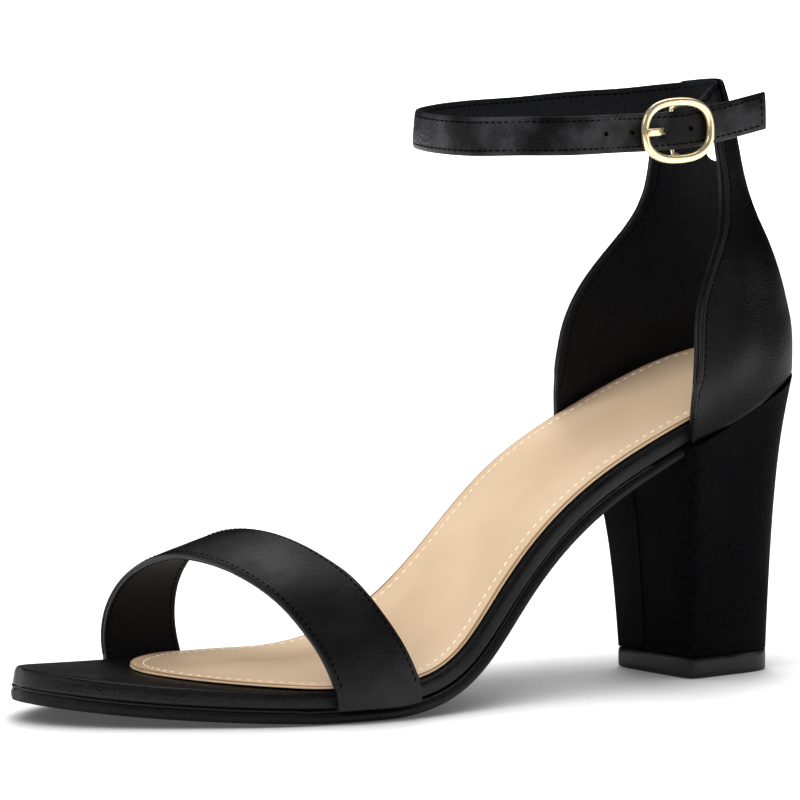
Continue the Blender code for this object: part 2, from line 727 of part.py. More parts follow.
STRAP_ROWS = strap_rows()
STRAP_STEPS = [math.dist(first[:3], second[:3]) for first, second in zip(STRAP_ROWS, STRAP_ROWS[1:])]
STRAP_PLACES = [sum(STRAP_STEPS[:i]) for i in range(len(STRAP_ROWS))]
strap_side_at, strap_forward_at, strap_up_at, strap_lean_at = [
    smooth(STRAP_PLACES, column) for column in columns(STRAP_ROWS)
]


def strap_station(place):
    """Middle, outward and upward directions of the strap at a distance along it, in the heel's frame."""
    step = 0.0004
    start = max(place - step, 0.0)
    end = min(place + step, STRAP_PLACES[-1])
    side = strap_side_at(end) - strap_side_at(start)
    forward = strap_forward_at(end) - strap_forward_at(start)
    flat = math.hypot(side, forward)
    out_side, out_forward = -forward / flat, side / flat
    lean = math.radians(strap_lean_at(place))
    outward = heel_frame(out_side, out_forward, 0.0) * math.cos(lean) + Vector((0, 0, math.sin(lean)))
    upward = Vector((0, 0, math.cos(lean))) - heel_frame(out_side, out_forward, 0.0) * math.sin(lean)
    middle = heel_frame(strap_side_at(place), strap_forward_at(place), strap_up_at(place))
    return middle, outward, upward


def band_rings(span, profile):
    """Sections of a band along the strap's line, between two distances along it."""
    count = max(int((span[1] - span[0]) / STRAP_STEP), 4)
    rings = []
    for place in np.linspace(span[0], span[1], count + 1):
        middle, outward, upward = strap_station(float(place))
        rings.append([middle + outward * out + upward * up for out, up in profile])
    return rings


def strap_rings(span, width, thickness, edge):
    """Sections of the strap itself, with broken corners."""
    high, deep = width / 2, thickness / 2
    profile = [(deep, high - edge), (deep - edge, high), (-deep + edge, high), (-deep, high - edge)]
    profile += [(-out, -up) for out, up in profile]
    return band_rings(span, profile)


def tab_range():
    """Distances along the strap between which the tab stands behind it."""
    places = [place for place in np.arange(0.01, 0.10, 0.0005) if abs(strap_side_at(place)) <= TAB_WIDTH / 2]
    return float(places[0]), float(places[-1])


def ankle_strap(collection, cutters):
    """One long strap: chape, ring and tail, with the hole that the prong goes through."""
    rings = strap_rings((0.0, STRAP_PLACES[-1]), STRAP_WIDTH, STRAP_THICKNESS, STRAP_EDGE)
    item = add_object("ankle_strap", loft_mesh("ankle_strap", rings), "satin", collection)
    hole = loft_mesh("prong_hole", prong_rings(CLEARANCE))
    combine(item, cutter_object("prong_hole", hole, cutters), "DIFFERENCE")
    return item


def sweep_rings(stations, half_out, half_wide, sides, squareness):
    """Rings round a line in the buckle's frame, with a round or a squarish section."""
    rings = []
    for i, (along, out, up) in enumerate(stations):
        before = stations[max(i - 1, 0)]
        after = stations[min(i + 1, len(stations) - 1)]
        tangent = Vector([b - a for a, b in zip(before, after)]).normalized()
        wide = Vector((0, 0, 1)) if abs(tangent.z) < 0.7 else Vector((1, 0, 0))
        thick = tangent.cross(wide).normalized()
        wide = thick.cross(tangent)
        ring = []
        for k in range(sides):
            turn = 2 * math.pi * (k + 0.5) / sides
            across = half_wide * math.copysign(abs(math.cos(turn)) ** squareness, math.cos(turn))
            deep = half_out * math.copysign(abs(math.sin(turn)) ** squareness, math.sin(turn))
            point = Vector((along, out, up)) + wide * across + thick * deep
            ring.append(heel_frame(*buckle_point(*point)))
        rings.append(ring)
    return rings


def prong_rings(margin):
    """The prong, from the bar through the strap's hole to the front of the frame."""
    over = BUCKLE_THICKNESS / 2 + CLEARANCE + PRONG_THICKNESS / 2
    tip = -(BUCKLE_LENGTH / 2 - 0.3 * BUCKLE_BAND) - margin
    start = -(BAR_DIAMETER / 2 + CLEARANCE) + margin
    under = -BAR_DEPTH
    line = [
        (start + place * (tip - start), under + raised * (over - under), 0.0) for place, raised in PRONG_ROWS
    ]
    return sweep_rings(line, PRONG_THICKNESS / 2 + margin, PRONG_WIDTH / 2 + margin, 8, 0.6)


def buckle_frame(collection, cutters):
    """Rounded oval frame with its centre bar, which dips behind the strap."""
    half_long = (BUCKLE_LENGTH - BUCKLE_BAND) / 2
    half_high = (BUCKLE_HEIGHT - BUCKLE_BAND) / 2
    half_band = BUCKLE_BAND / 2
    half_thick = BUCKLE_THICKNESS / 2
    bevel = BUCKLE_BEVEL
    profile = [(1.0, bevel), (bevel, 1.0), (-bevel, 1.0), (-1.0, bevel)]
    profile += [(-across, -thick) for across, thick in profile]
    steps = 36
    rings = []
    for i in range(steps):
        turn = 2 * math.pi * i / steps
        cos_turn = math.copysign(abs(math.cos(turn)) ** BUCKLE_ROUNDNESS, math.cos(turn))
        sin_turn = math.copysign(abs(math.sin(turn)) ** BUCKLE_ROUNDNESS, math.sin(turn))
        normal = Vector((math.cos(turn) * half_high, math.sin(turn) * half_long)).normalized()
        ring = []
        for across, thick in profile:
            along = half_long * cos_turn + normal.x * across * half_band
            up = half_high * sin_turn + normal.y * across * half_band
            ring.append(heel_frame(*buckle_point(along, thick * half_thick, up)))
        rings.append(ring)
    rings.append(rings[0])
    mesh = loft_mesh("buckle_frame", rings, capped=False)
    item = add_object("buckle_frame", mesh, "pale_gold", collection)
    leg = STRAP_WIDTH / 2 + CLEARANCE + BAR_DIAMETER / 2 + BAR_MARGIN
    line = [(0.0, -depth * BAR_DEPTH, leg + rise * (half_high - leg)) for depth, rise in BAR_ROWS]
    line += [(along, out, -up) for along, out, up in reversed(line)]
    bar = loft_mesh("centre_bar", sweep_rings(line, BAR_DIAMETER / 2, BAR_DIAMETER / 2, 8, 1.0))
    combine(item, cutter_object("centre_bar", bar, cutters), "UNION")
    return item


def buckle_prong(collection):
    """Flat prong on the strap, resting on the frame's front side."""
    return add_object("buckle_prong", loft_mesh("buckle_prong", prong_rings(0.0)), "pale_gold", collection)


def build():
    """Make every piece in a fresh collection."""
    for item in list(bpy.data.objects):
        bpy.data.objects.remove(item, do_unlink=True)
    parts = bpy.data.collections.new("block_heel_sandal")
    cutters = bpy.data.collections.new("cutters")
    bpy.context.scene.collection.children.link(parts)
    bpy.context.scene.collection.children.link(cutters)
    footbed(parts)
    outsole(parts)
    insole(parts)
    heel_tip(parts)
    heel_block(parts)
    vamp_strap(parts)
    heel_counter(parts, cutters)
    ankle_strap(parts, cutters)
    buckle_frame(parts, cutters)
    buckle_prong(parts)


build()
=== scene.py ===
import math

import bmesh
import bpy
import numpy as np
from mathutils import Matrix, Vector


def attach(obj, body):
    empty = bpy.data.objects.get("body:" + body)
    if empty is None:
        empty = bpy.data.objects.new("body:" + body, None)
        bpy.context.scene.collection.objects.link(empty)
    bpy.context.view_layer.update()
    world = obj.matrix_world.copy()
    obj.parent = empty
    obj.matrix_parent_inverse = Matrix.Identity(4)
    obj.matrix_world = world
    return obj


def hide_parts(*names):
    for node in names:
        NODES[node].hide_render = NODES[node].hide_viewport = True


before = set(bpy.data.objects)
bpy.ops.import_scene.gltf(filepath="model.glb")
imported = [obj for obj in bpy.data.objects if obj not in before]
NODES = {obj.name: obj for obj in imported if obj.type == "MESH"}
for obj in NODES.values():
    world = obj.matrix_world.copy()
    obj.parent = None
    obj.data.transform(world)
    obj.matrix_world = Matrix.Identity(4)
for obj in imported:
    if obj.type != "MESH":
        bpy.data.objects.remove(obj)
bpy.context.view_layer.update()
MM = 0.001

# Camera, at the photograph's angle
CAMERA_PLACE = (0.84576, -0.58569, 0.15176)
CAMERA_AIM = (-0.01574, -0.08386, 0.07446)
CAMERA_LENS = 172.9

# Stitches: length, width, height and pitch
BLACK_STITCH = (1.20 * MM, 0.36 * MM, 0.34 * MM, 1.75 * MM)
CREAM_STITCH = (1.80 * MM, 0.42 * MM, 0.36 * MM, 2.70 * MM)
STITCH_INSET = 1.35 * MM
SOCK_STITCH_INSET = 3.4 * MM
VAMP_STITCH_SHARE = 0.055
COUNTER_STITCH_GAP = 2.4 * MM
WELT_RADIUS = 0.45 * MM
STRAP_HOLES = (0.059, 0.050, 0.0325)
# Soft bends along the strap: the distance along it, the reach and the depth outwards
STRAP_WAVES = (
    # place  reach   depth
    (0.130, 0.0050, 0.0003),
    (0.152, 0.0050, 0.0003),
    (0.178, 0.0040, -0.0003),
    (0.191, 0.0045, 0.0003),
    (0.204, 0.0040, -0.0003),
    (0.216, 0.0040, 0.0003),
    (0.246, 0.0040, -0.0002),
)
# Sides of a rolled edge or welt, and the steps of a line across the toe band and down the counter
CORD_SIDES = 6
ARCH_STEPS = 90
EDGE_STEPS = 80

# Sizes and section tables of the solids, for the lines that the stitches follow
SOLE_LENGTH = 0.2207
BALL_WIDTH = 0.0768
WAIST_WIDTH = 0.0492
SEAT_WIDTH = 0.0538
HEEL_RISE = 0.0792
TOE_SPRING = 0.0052
OUTSOLE_THICKNESS = 0.0032
FOOTBED_THICKNESS = 0.0048
FOOTBED_ROUNDING = 0.0022
INSOLE_THICKNESS = 0.0010
INSOLE_INSET = 0.0014
INSOLE_TOE_MARGIN = 0.0320
INSOLE_NARROWING = 0.0400
INSOLE_TOE_POWER = 2.3
CLEARANCE = 0.0003
SEAT_SETBACK = 0.0244
HEEL_TURN = math.radians(7.4)
TIP_WIDTH = 0.0304
TIP_THICKNESS = 0.0055
HEEL_TOP_FRONT = 0.0235
VAMP_WALL = 0.0018
VAMP_FRONT_HEIGHT = 0.0306
VAMP_REAR_HEIGHT = 0.0362
VAMP_FRONT_MEDIAL = 0.1819
VAMP_FRONT_LATERAL = 0.1559
VAMP_REAR_MEDIAL = 0.1585
VAMP_REAR_LATERAL = 0.1329
VAMP_CROWN = 0.0003
VAMP_ROUND_MEDIAL_FRONT = 1.78
VAMP_ROUND_MEDIAL_REAR = 1.98
VAMP_ROUND_LATERAL = 2.05
VAMP_LEAN_FRONT = 0.0076
VAMP_LEAN_REAR = 0.0107
VAMP_SKEW = 0.10
COUNTER_WALL = 0.0018
COUNTER_DROP = 0.0051
WING_DROP = 0.0077
COUNTER_WIDTH = 0.0578
COUNTER_REACH = 0.0272
COUNTER_BACK = 0.0262
COUNTER_SQUARENESS = 0.92
STRAP_WIDTH = 0.0098
STRAP_THICKNESS = 0.0016
RING_LENGTH = 0.0920
RING_WIDTH = 0.0580
RING_BACK = 0.0035
STRAP_HEIGHT = 0.1531
RING_DROP = 0.0101
TAIL_LENGTH = 0.0278
TAIL_LIFT = 0.0036
TAIL_FLARE = 0.0006
SIDE_LEAN = 4.0
BILLET_HUMP = 0.0008
BUCKLE_LENGTH = 0.0222
BUCKLE_BAND = 0.0022
BUCKLE_THICKNESS = 0.0018
BAR_DIAMETER = 0.0014
BUCKLE_SIDE = 0.0320
BUCKLE_FORWARD = 0.0370
BUCKLE_CENTRE = 0.1446
BUCKLE_TURN = math.radians(8.0)
BUCKLE_PITCH = math.radians(3.0)

# Sole sections from the back of the seat to the toe: the place along the length, the share of the
# heel's rise and of the toe's spring, the half width as shares of the seat's, the waist's and the
# ball's half width, the centre's drift as a share of the ball's width, and the roll in degrees.
SOLE_ROWS = (
    # along  rise   spring  seat   waist  ball   drift   roll
    (0.000, 1.000, 0.000, 0.000, 0.000, 0.000, -0.045, -1.7),
    (0.034, 0.961, 0.000, 0.647, 0.000, 0.000, -0.044, -1.7),
    (0.077, 0.912, 0.000, 0.896, 0.000, 0.000, -0.042, -1.7),
    (0.127, 0.852, 0.000, 1.000, 0.000, 0.000, -0.040, -1.8),
    (0.190, 0.775, 0.000, 0.989, 0.000, 0.000, -0.043, -1.9),
    (0.254, 0.692, 0.000, 0.560, 0.440, 0.000, -0.042, -2.0),
    (0.344, 0.547, 0.000, 0.000, 1.000, 0.000, -0.022, -2.2),
    (0.438, 0.316, 0.000, 0.000, 0.990, 0.000, 0.018, -2.2),
    (0.488, 0.172, 0.000, 0.000, 0.700, 0.270, 0.023, -1.6),
    (0.540, 0.066, 0.000, 0.000, 0.300, 0.650, 0.012, -0.8),
    (0.611, 0.006, 0.000, 0.000, 0.000, 0.960, -0.016, -0.1),
    (0.693, 0.000, 0.000, 0.000, 0.000, 1.000, -0.046, 0.0),
    (0.765, 0.000, 0.100, 0.000, 0.000, 0.953, -0.070, 0.0),
    (0.846, 0.000, 0.290, 0.000, 0.000, 0.780, -0.094, 0.0),
    (0.938, 0.000, 0.650, 0.000, 0.000, 0.490, -0.111, 0.0),
    (1.000, 0.000, 1.000, 0.000, 0.000, 0.000, -0.124, 0.0),
)
# The forefoot's flat spot, as shares of the length.
FLAT_FROM = 0.622
FLAT_TO = 0.740

# Heel counter: the height as a share of its top's, the half width, the forward reach and the
# backward reach as shares of its own.
COUNTER_ROWS = (
    # height  width   front   back
    (0.405, 0.990, 1.015, 0.880),
    (0.486, 0.997, 1.015, 0.920),
    (0.540, 1.000, 0.989, 0.975),
    (0.574, 0.988, 0.970, 1.005),
    (0.607, 0.969, 0.949, 0.996),
    (0.641, 0.934, 0.915, 0.966),
    (0.675, 0.889, 0.850, 0.927),
    (0.709, 0.844, 0.743, 0.870),
    (0.742, 0.790, 0.614, 0.790),
    (0.776, 0.722, 0.474, 0.702),
    (0.810, 0.645, 0.345, 0.585),
    (0.844, 0.585, 0.268, 0.480),
    (0.877, 0.543, 0.232, 0.400),
    (0.911, 0.512, 0.226, 0.345),
    (0.945, 0.478, 0.232, 0.317),
    (1.000, 0.426, 0.228, 0.244),
)

# Ankle ring, in plan, from where the strap leaves the back tab round the inner side and the front
# to the buckle: the forward place as a share of the ring's length, the side as a share of its half
# width (outer side positive), the height lost as a share of the ring's drop, and the inward lean
# in degrees.
RING_ROWS = (
    # forward  side    drop   lean
    (0.190, -0.517, 0.231, 10.0),
    (0.332, -0.724, 0.324, 6.0),
    (0.495, -0.914, 0.472, 4.0),
    (0.647, -1.000, 0.560, 4.0),
    (0.799, -0.931, 0.680, 4.0),
    (0.913, -0.690, 0.780, 4.0),
    (0.978, -0.345, 0.870, 4.0),
    (1.000, 0.000, 0.940, 4.0),
    (0.978, 0.345, 0.990, 4.0),
    (0.913, 0.690, 0.975, 4.0),
    (0.799, 0.925, 0.970, 4.0),
    (0.665, 0.985, 0.925, 4.0),
)
# The narrow back of the ring, behind the counter's top, in the same columns.
BACK_ROWS = (
    # forward  side    drop   lean
    (0.195, 0.590, 0.470, 9.0),
    (0.082, 0.345, 0.160, 14.0),
    (0.022, 0.207, 0.050, 16.0),
    (0.000, 0.000, 0.000, 16.0),
    (0.022, -0.207, 0.050, 16.0),
    (0.082, -0.345, 0.110, 14.0),
)


def smooth(places, values):
    """Natural cubic spline through the rows of a table, as a function of the place."""
    xs = np.array(places, float)
    ys = np.array(values, float)
    steps = np.diff(xs)
    count = len(xs)
    matrix = np.eye(count)
    right = np.zeros(count)
    for i in range(1, count - 1):
        matrix[i, i - 1] = steps[i - 1]
        matrix[i, i] = 2 * (steps[i - 1] + steps[i])
        matrix[i, i + 1] = steps[i]
        right[i] = 6 * ((ys[i + 1] - ys[i]) / steps[i] - (ys[i] - ys[i - 1]) / steps[i - 1])
    bend = np.linalg.solve(matrix, right)

    def at(x):
        i = int(np.clip(np.searchsorted(xs, x) - 1, 0, count - 2))
        after = xs[i + 1] - x
        before = x - xs[i]
        low = ys[i] / steps[i] - bend[i] * steps[i] / 6
        high = ys[i + 1] / steps[i] - bend[i + 1] * steps[i] / 6
        cubic = (bend[i] * after ** 3 + bend[i + 1] * before ** 3) / (6 * steps[i])
        return cubic + low * after + high * before

    return at


def columns(rows):
    """The columns of a table, each as a list."""
    return [list(column) for column in zip(*rows)]


ALONG, RISE, SPRING, SEAT, WAIST, BALL, DRIFT, ROLL = columns(SOLE_ROWS)
SQUARES = [
    (seat * SEAT_WIDTH / 2 + waist * WAIST_WIDTH / 2 + ball * BALL_WIDTH / 2) ** 2
    for seat, waist, ball in zip(SEAT, WAIST, BALL)
]
rise_at = smooth(ALONG, RISE)
spring_at = smooth(ALONG, SPRING)
square_at = smooth(ALONG, SQUARES)
drift_at = smooth(ALONG, DRIFT)
roll_at = smooth(ALONG, ROLL)


def half_width(share):
    """Half the footbed's width at a share of the sole's length."""
    return math.sqrt(max(square_at(share), 0.0))


def bed_height(share):
    """Height of the footbed's underside on the middle line."""
    stack = OUTSOLE_THICKNESS + CLEARANCE
    if FLAT_FROM <= share <= FLAT_TO:
        return stack
    rise = HEEL_RISE * rise_at(share) if share < FLAT_FROM else 0.0
    spring = TOE_SPRING * spring_at(share) if share > FLAT_TO else 0.0
    return stack + max(rise, 0.0) + max(spring, 0.0)


def sole_point(share, across, lift):
    """Point of the sole: across from its middle line, outer side positive, lifted off the footbed's base."""
    step = 0.004
    before = bed_height(max(share - step, 0.0))
    after = bed_height(min(share + step, 1.0))
    run = (min(share + step, 1.0) - max(share - step, 0.0)) * SOLE_LENGTH
    slope = math.atan2(after - before, run)
    forward = share * SOLE_LENGTH - lift * math.sin(slope)
    tilt = across * math.tan(math.radians(roll_at(share)))
    up = bed_height(share) + tilt + lift * math.cos(slope)
    return Vector((drift_at(share) * BALL_WIDTH + across, SEAT_SETBACK - forward, up))


def heel_frame(side, forward, up):
    """Point given in the heel's own frame, which is turned outwards from the sole's line."""
    cos_turn = math.cos(HEEL_TURN)
    sin_turn = math.sin(HEEL_TURN)
    return Vector((side * cos_turn + forward * sin_turn, side * sin_turn - forward * cos_turn, up))


def vamp_point(depth, turn):
    """Point of the vamp strap's middle surface: depth 0 at the front edge, 1 at the rear edge."""
    medial = VAMP_FRONT_MEDIAL + depth * (VAMP_REAR_MEDIAL - VAMP_FRONT_MEDIAL)
    lateral = VAMP_FRONT_LATERAL + depth * (VAMP_REAR_LATERAL - VAMP_FRONT_LATERAL)
    height = VAMP_FRONT_HEIGHT + depth * (VAMP_REAR_HEIGHT - VAMP_FRONT_HEIGHT)
    height += VAMP_CROWN * math.sin(math.pi * depth)
    roundness = VAMP_ROUND_LATERAL
    if math.cos(turn) < 0:
        roundness = VAMP_ROUND_MEDIAL_FRONT + depth * (VAMP_ROUND_MEDIAL_REAR - VAMP_ROUND_MEDIAL_FRONT)
    lean = VAMP_LEAN_FRONT + depth * (VAMP_LEAN_REAR - VAMP_LEAN_FRONT)
    across = math.copysign(abs(math.cos(turn)) ** (2 / roundness), math.cos(turn))
    up = abs(math.sin(turn)) ** (2 / roundness)
    share = (across + 1) / 2
    forward = medial + (lateral - medial) * share
    margin = CLEARANCE + VAMP_WALL / 2
    foot_medial = sole_point(medial / SOLE_LENGTH, -half_width(medial / SOLE_LENGTH) - margin, 0.0)
    foot_lateral = sole_point(lateral / SOLE_LENGTH, half_width(lateral / SOLE_LENGTH) + margin, 0.0)
    middle = (foot_medial.x + foot_lateral.x) / 2
    half = (foot_lateral.x - foot_medial.x) / 2
    spring_line = bed_height(forward / SOLE_LENGTH) + FOOTBED_THICKNESS - 0.4 * FOOTBED_ROUNDING
    return Vector((
        middle + half * across - VAMP_SKEW * height * up,
        SEAT_SETBACK - forward - lean * up,
        spring_line + height * up,
    ))


COUNTER_TOP = STRAP_HEIGHT - COUNTER_DROP
WING_TOP = STRAP_HEIGHT - WING_DROP
COUNTER_HEIGHTS, COUNTER_HALVES, COUNTER_FRONTS, COUNTER_BACKS = columns(COUNTER_ROWS)
COUNTER_LEVELS = [share * COUNTER_TOP for share in COUNTER_HEIGHTS]
counter_half_at = smooth(COUNTER_LEVELS, [share * COUNTER_WIDTH / 2 for share in COUNTER_HALVES])
counter_front_at = smooth(COUNTER_LEVELS, [share * COUNTER_REACH for share in COUNTER_FRONTS])
counter_back_at = smooth(COUNTER_LEVELS, [share * COUNTER_BACK for share in COUNTER_BACKS])


def buckle_point(along, out, up):
    """Point in the buckle's own frame: along the strap to the back, outwards, and up."""
    cos_turn = math.cos(BUCKLE_TURN)
    sin_turn = math.sin(BUCKLE_TURN)
    leant = out - up * math.tan(math.radians(SIDE_LEAN))
    side = BUCKLE_SIDE + along * sin_turn + leant * cos_turn
    forward = BUCKLE_FORWARD - along * cos_turn + leant * sin_turn
    return side, forward, BUCKLE_CENTRE + up + along * math.tan(BUCKLE_PITCH)


# How deep each layer lies below the buckle frame's middle plane.
BILLET_DEPTH = BUCKLE_THICKNESS / 2 + CLEARANCE + STRAP_THICKNESS / 2
HUMP_DEPTH = BILLET_DEPTH - BILLET_HUMP
BAR_DEPTH = HUMP_DEPTH + STRAP_THICKNESS / 2 + CLEARANCE + BAR_DIAMETER / 2
CHAPE_DEPTH = BAR_DEPTH + BAR_DIAMETER / 2 + CLEARANCE + STRAP_THICKNESS / 2


def strap_rows():
    """The strap's middle line from the chape's end round the back and the front to the tail's end."""
    side_bar = (BUCKLE_LENGTH - BUCKLE_BAND) / 2
    rows = [(*buckle_point(-BAR_DIAMETER / 2, -CHAPE_DEPTH, 0.0), SIDE_LEAN)]
    for forward, side, drop, lean in BACK_ROWS + RING_ROWS:
        rows.append((
            side * RING_WIDTH / 2,
            forward * RING_LENGTH - RING_BACK,
            STRAP_HEIGHT - drop * RING_DROP,
            lean,
        ))
    rows.append((*buckle_point(-side_bar, -BILLET_DEPTH, 0.0), SIDE_LEAN))
    rows.append((*buckle_point(0.0, -HUMP_DEPTH, 0.0), SIDE_LEAN))
    rows.append((*buckle_point(side_bar, -BILLET_DEPTH, 0.2 * TAIL_LIFT), SIDE_LEAN))
    rows.append((*buckle_point(TAIL_LENGTH, -BILLET_DEPTH + TAIL_FLARE, TAIL_LIFT), SIDE_LEAN))
    return rows


STRAP_ROWS = strap_rows()
STRAP_STEPS = [math.dist(first[:3], second[:3]) for first, second in zip(STRAP_ROWS, STRAP_ROWS[1:])]
STRAP_PLACES = [sum(STRAP_STEPS[:i]) for i in range(len(STRAP_ROWS))]
strap_side_at, strap_forward_at, strap_up_at, strap_lean_at = [
    smooth(STRAP_PLACES, column) for column in columns(STRAP_ROWS)
]


def strap_station(place):
    """Middle, outward and upward directions of the strap at a distance along it, in the heel's frame."""
    step = 0.0004
    start = max(place - step, 0.0)
    end = min(place + step, STRAP_PLACES[-1])
    side = strap_side_at(end) - strap_side_at(start)
    forward = strap_forward_at(end) - strap_forward_at(start)
    flat = math.hypot(side, forward)
    out_side, out_forward = -forward / flat, side / flat
    lean = math.radians(strap_lean_at(place))
    outward = heel_frame(out_side, out_forward, 0.0) * math.cos(lean) + Vector((0, 0, math.sin(lean)))
    upward = Vector((0, 0, math.cos(lean))) - heel_frame(out_side, out_forward, 0.0) * math.sin(lean)
    middle = heel_frame(strap_side_at(place), strap_forward_at(place), strap_up_at(place))
    return middle, outward, upward


def clear_selection():
    """Leave edit mode and deselect every object."""
    if bpy.context.object and bpy.context.object.mode != "OBJECT":
        bpy.ops.object.mode_set(mode="OBJECT")
    bpy.ops.object.select_all(action="DESELECT")


def work_on(piece):
    """Make one piece the selected and active object."""
    clear_selection()
    piece.select_set(True)
    bpy.context.view_layer.objects.active = piece


def new_material(name, colour, roughness, metallic=0.0, specular=0.5):
    """Principled material with its shader."""
    material = bpy.data.materials.new(name)
    material.use_nodes = True
    shader = material.node_tree.nodes["Principled BSDF"]
    shader.inputs["Base Color"].default_value = (*colour, 1.0)
    shader.inputs["Roughness"].default_value = roughness
    shader.inputs["Metallic"].default_value = metallic
    shader.inputs["Specular IOR Level"].default_value = specular
    return material, shader


def add_node(material, kind, **settings):
    """Node in a material, with its settings and input values."""
    node = material.node_tree.nodes.new(kind)
    for name, value in settings.items():
        if name in node.inputs:
            node.inputs[name].default_value = value
        else:
            setattr(node, name, value)
    return node


def object_space(material, scale=(1.0, 1.0, 1.0), turn=(0.0, 0.0, 0.0)):
    """Object coordinates, stretched and turned; returns the mapped vector."""
    coordinates = add_node(material, "ShaderNodeTexCoord")
    mapping = add_node(material, "ShaderNodeMapping", Scale=scale, Rotation=turn)
    material.node_tree.links.new(coordinates.outputs["Object"], mapping.inputs["Vector"])
    return mapping.outputs["Vector"]


def noise(material, vector, scale, detail=2.0, roughness=0.5):
    """Noise value on a vector."""
    node = add_node(material, "ShaderNodeTexNoise", Scale=scale, Detail=detail, Roughness=roughness)
    material.node_tree.links.new(vector, node.inputs["Vector"])
    return node.outputs["Fac"]


def ranged(material, value, low, high, start=0.0, end=1.0):
    """A value spread to a new range."""
    node = add_node(material, "ShaderNodeMapRange")
    node.inputs["From Min"].default_value = start
    node.inputs["From Max"].default_value = end
    node.inputs["To Min"].default_value = low
    node.inputs["To Max"].default_value = high
    material.node_tree.links.new(value, node.inputs["Value"])
    return node.outputs["Result"]


def tinted(material, shader, value, dark, light):
    """Base colour that varies between two shades."""
    mix = add_node(material, "ShaderNodeMix", data_type="RGBA")
    mix.inputs["A"].default_value = (*dark, 1.0)
    mix.inputs["B"].default_value = (*light, 1.0)
    material.node_tree.links.new(value, mix.inputs["Factor"])
    material.node_tree.links.new(mix.outputs["Result"], shader.inputs["Base Color"])


def relief(material, shader, heights):
    """Bumps laid one over another; each height has its value, strength and depth."""
    normal = None
    for value, strength, depth in heights:
        bump = add_node(material, "ShaderNodeBump", Strength=strength, Distance=depth)
        material.node_tree.links.new(value, bump.inputs["Height"])
        if normal is not None:
            material.node_tree.links.new(normal, bump.inputs["Normal"])
        normal = bump.outputs["Normal"]
    material.node_tree.links.new(normal, shader.inputs["Normal"])


def satin_material(name, shade, lift, gloss, specular, wave_depth, wave_scale, sheen_patches=None):
    """Black satin: fine threads, a soft sheen, slight waves and, on request, glossier spots whose colour is
    lifted, a painted sheen.
    """
    material, shader = new_material(name, shade, gloss, 0.0, specular)
    space = object_space(material)
    threads = noise(material, space, 1500.0, 3.0, 0.6)
    slub = noise(material, object_space(material, (1.0, 1.0, 0.16), (0.0, 0.0, 0.4)), 1300.0, 2.0)
    waves = noise(material, space, wave_scale, 2.0, 0.45)
    links = material.node_tree.links
    if sheen_patches:
        scale, low, high = sheen_patches
        gloss_and_sheen_blotch = noise(material, space, scale, 2.0, 0.55)
        rough = ranged(material, gloss_and_sheen_blotch, high, low, 0.42, 0.60)
        # Painted sheen: the spots' noise also lifts the base colour towards the paler shade, a highlight
        # painted into the colour.
        painted_sheen = add_node(material, "ShaderNodeMath", operation="MULTIPLY")
        links.new(ranged(material, threads, 0.5, 1.0, 0.35, 0.75), painted_sheen.inputs[0])
        links.new(ranged(material, gloss_and_sheen_blotch, 0.03, 1.0, 0.42, 0.62), painted_sheen.inputs[1])
        tone = painted_sheen.outputs["Value"]
    else:
        broad = noise(material, space, 38.0, 1.0)
        rough = ranged(material, broad, gloss - 0.10, gloss + 0.12, 0.3, 0.7)
        tone = ranged(material, threads, 0.0, 1.0, 0.35, 0.75)
    links.new(rough, shader.inputs["Roughness"])
    # The paler shade of the threads' grain; on satins with sheen spots it is also the painted sheen's
    # colour.
    grain_and_sheen_colour = tuple(channel * lift for channel in shade)
    tinted(material, shader, tone, shade, grain_and_sheen_colour)
    relief(material, shader, (
        (waves, 0.9, wave_depth),
        (slub, 0.40, 0.00005),
        (threads, 0.80, 0.00020),
    ))
    shader.inputs["Anisotropic"].default_value = 0.35
    return material


def lining_material():
    """Dark grey lining with a fine grain."""
    material, shader = new_material("dark lining", (0.006, 0.006, 0.0065), 0.66, 0.0, 0.10)
    space = object_space(material)
    grain = noise(material, space, 900.0, 4.0, 0.65)
    cloudy = noise(material, space, 70.0, 2.0)
    shade = ranged(material, grain, 0.0, 1.0, 0.3, 0.75)
    tinted(material, shader, shade, (0.0036, 0.0038, 0.0046), (0.0088, 0.0094, 0.0112))
    relief(material, shader, ((cloudy, 0.5, 0.0002), (grain, 0.5, 0.00009)))
    return material


def sock_material():
    """Smooth tan leather with a faint grain and cloudy tone."""
    material, shader = new_material("tan sock leather", (0.52, 0.38, 0.25), 0.36, 0.0, 0.30)
    space = object_space(material)
    pores = noise(material, space, 1400.0, 3.0, 0.6)
    cloudy = noise(material, object_space(material, (1.0, 0.35, 1.0)), 45.0, 3.0)
    shade = ranged(material, cloudy, 0.0, 1.0, 0.3, 0.7)
    tinted(material, shader, shade, (0.49, 0.355, 0.23), (0.56, 0.415, 0.28))
    links = material.node_tree.links
    links.new(ranged(material, cloudy, 0.30, 0.44, 0.3, 0.7), shader.inputs["Roughness"])
    relief(material, shader, ((cloudy, 0.4, 0.00025), (pores, 0.22, 0.00004)))
    shader.inputs["Coat Weight"].default_value = 0.12
    shader.inputs["Coat Roughness"].default_value = 0.3
    return material


def rubber_material():
    """Black rubber sole with fine speckle and light scuffs."""
    material, shader = new_material("black rubber", (0.004, 0.004, 0.0045), 0.5, 0.0, 0.16)
    space = object_space(material)
    speckle = noise(material, space, 1100.0, 3.0, 0.6)
    scuff = noise(material, object_space(material, (1.0, 0.2, 1.0)), 120.0, 3.0)
    shade = ranged(material, speckle, 0.0, 1.0, 0.35, 0.75)
    tinted(material, shader, shade, (0.003, 0.003, 0.0034), (0.008, 0.008, 0.0088))
    links = material.node_tree.links
    links.new(ranged(material, scuff, 0.40, 0.60, 0.3, 0.7), shader.inputs["Roughness"])
    relief(material, shader, ((scuff, 0.3, 0.00012), (speckle, 0.3, 0.00005)))
    return material


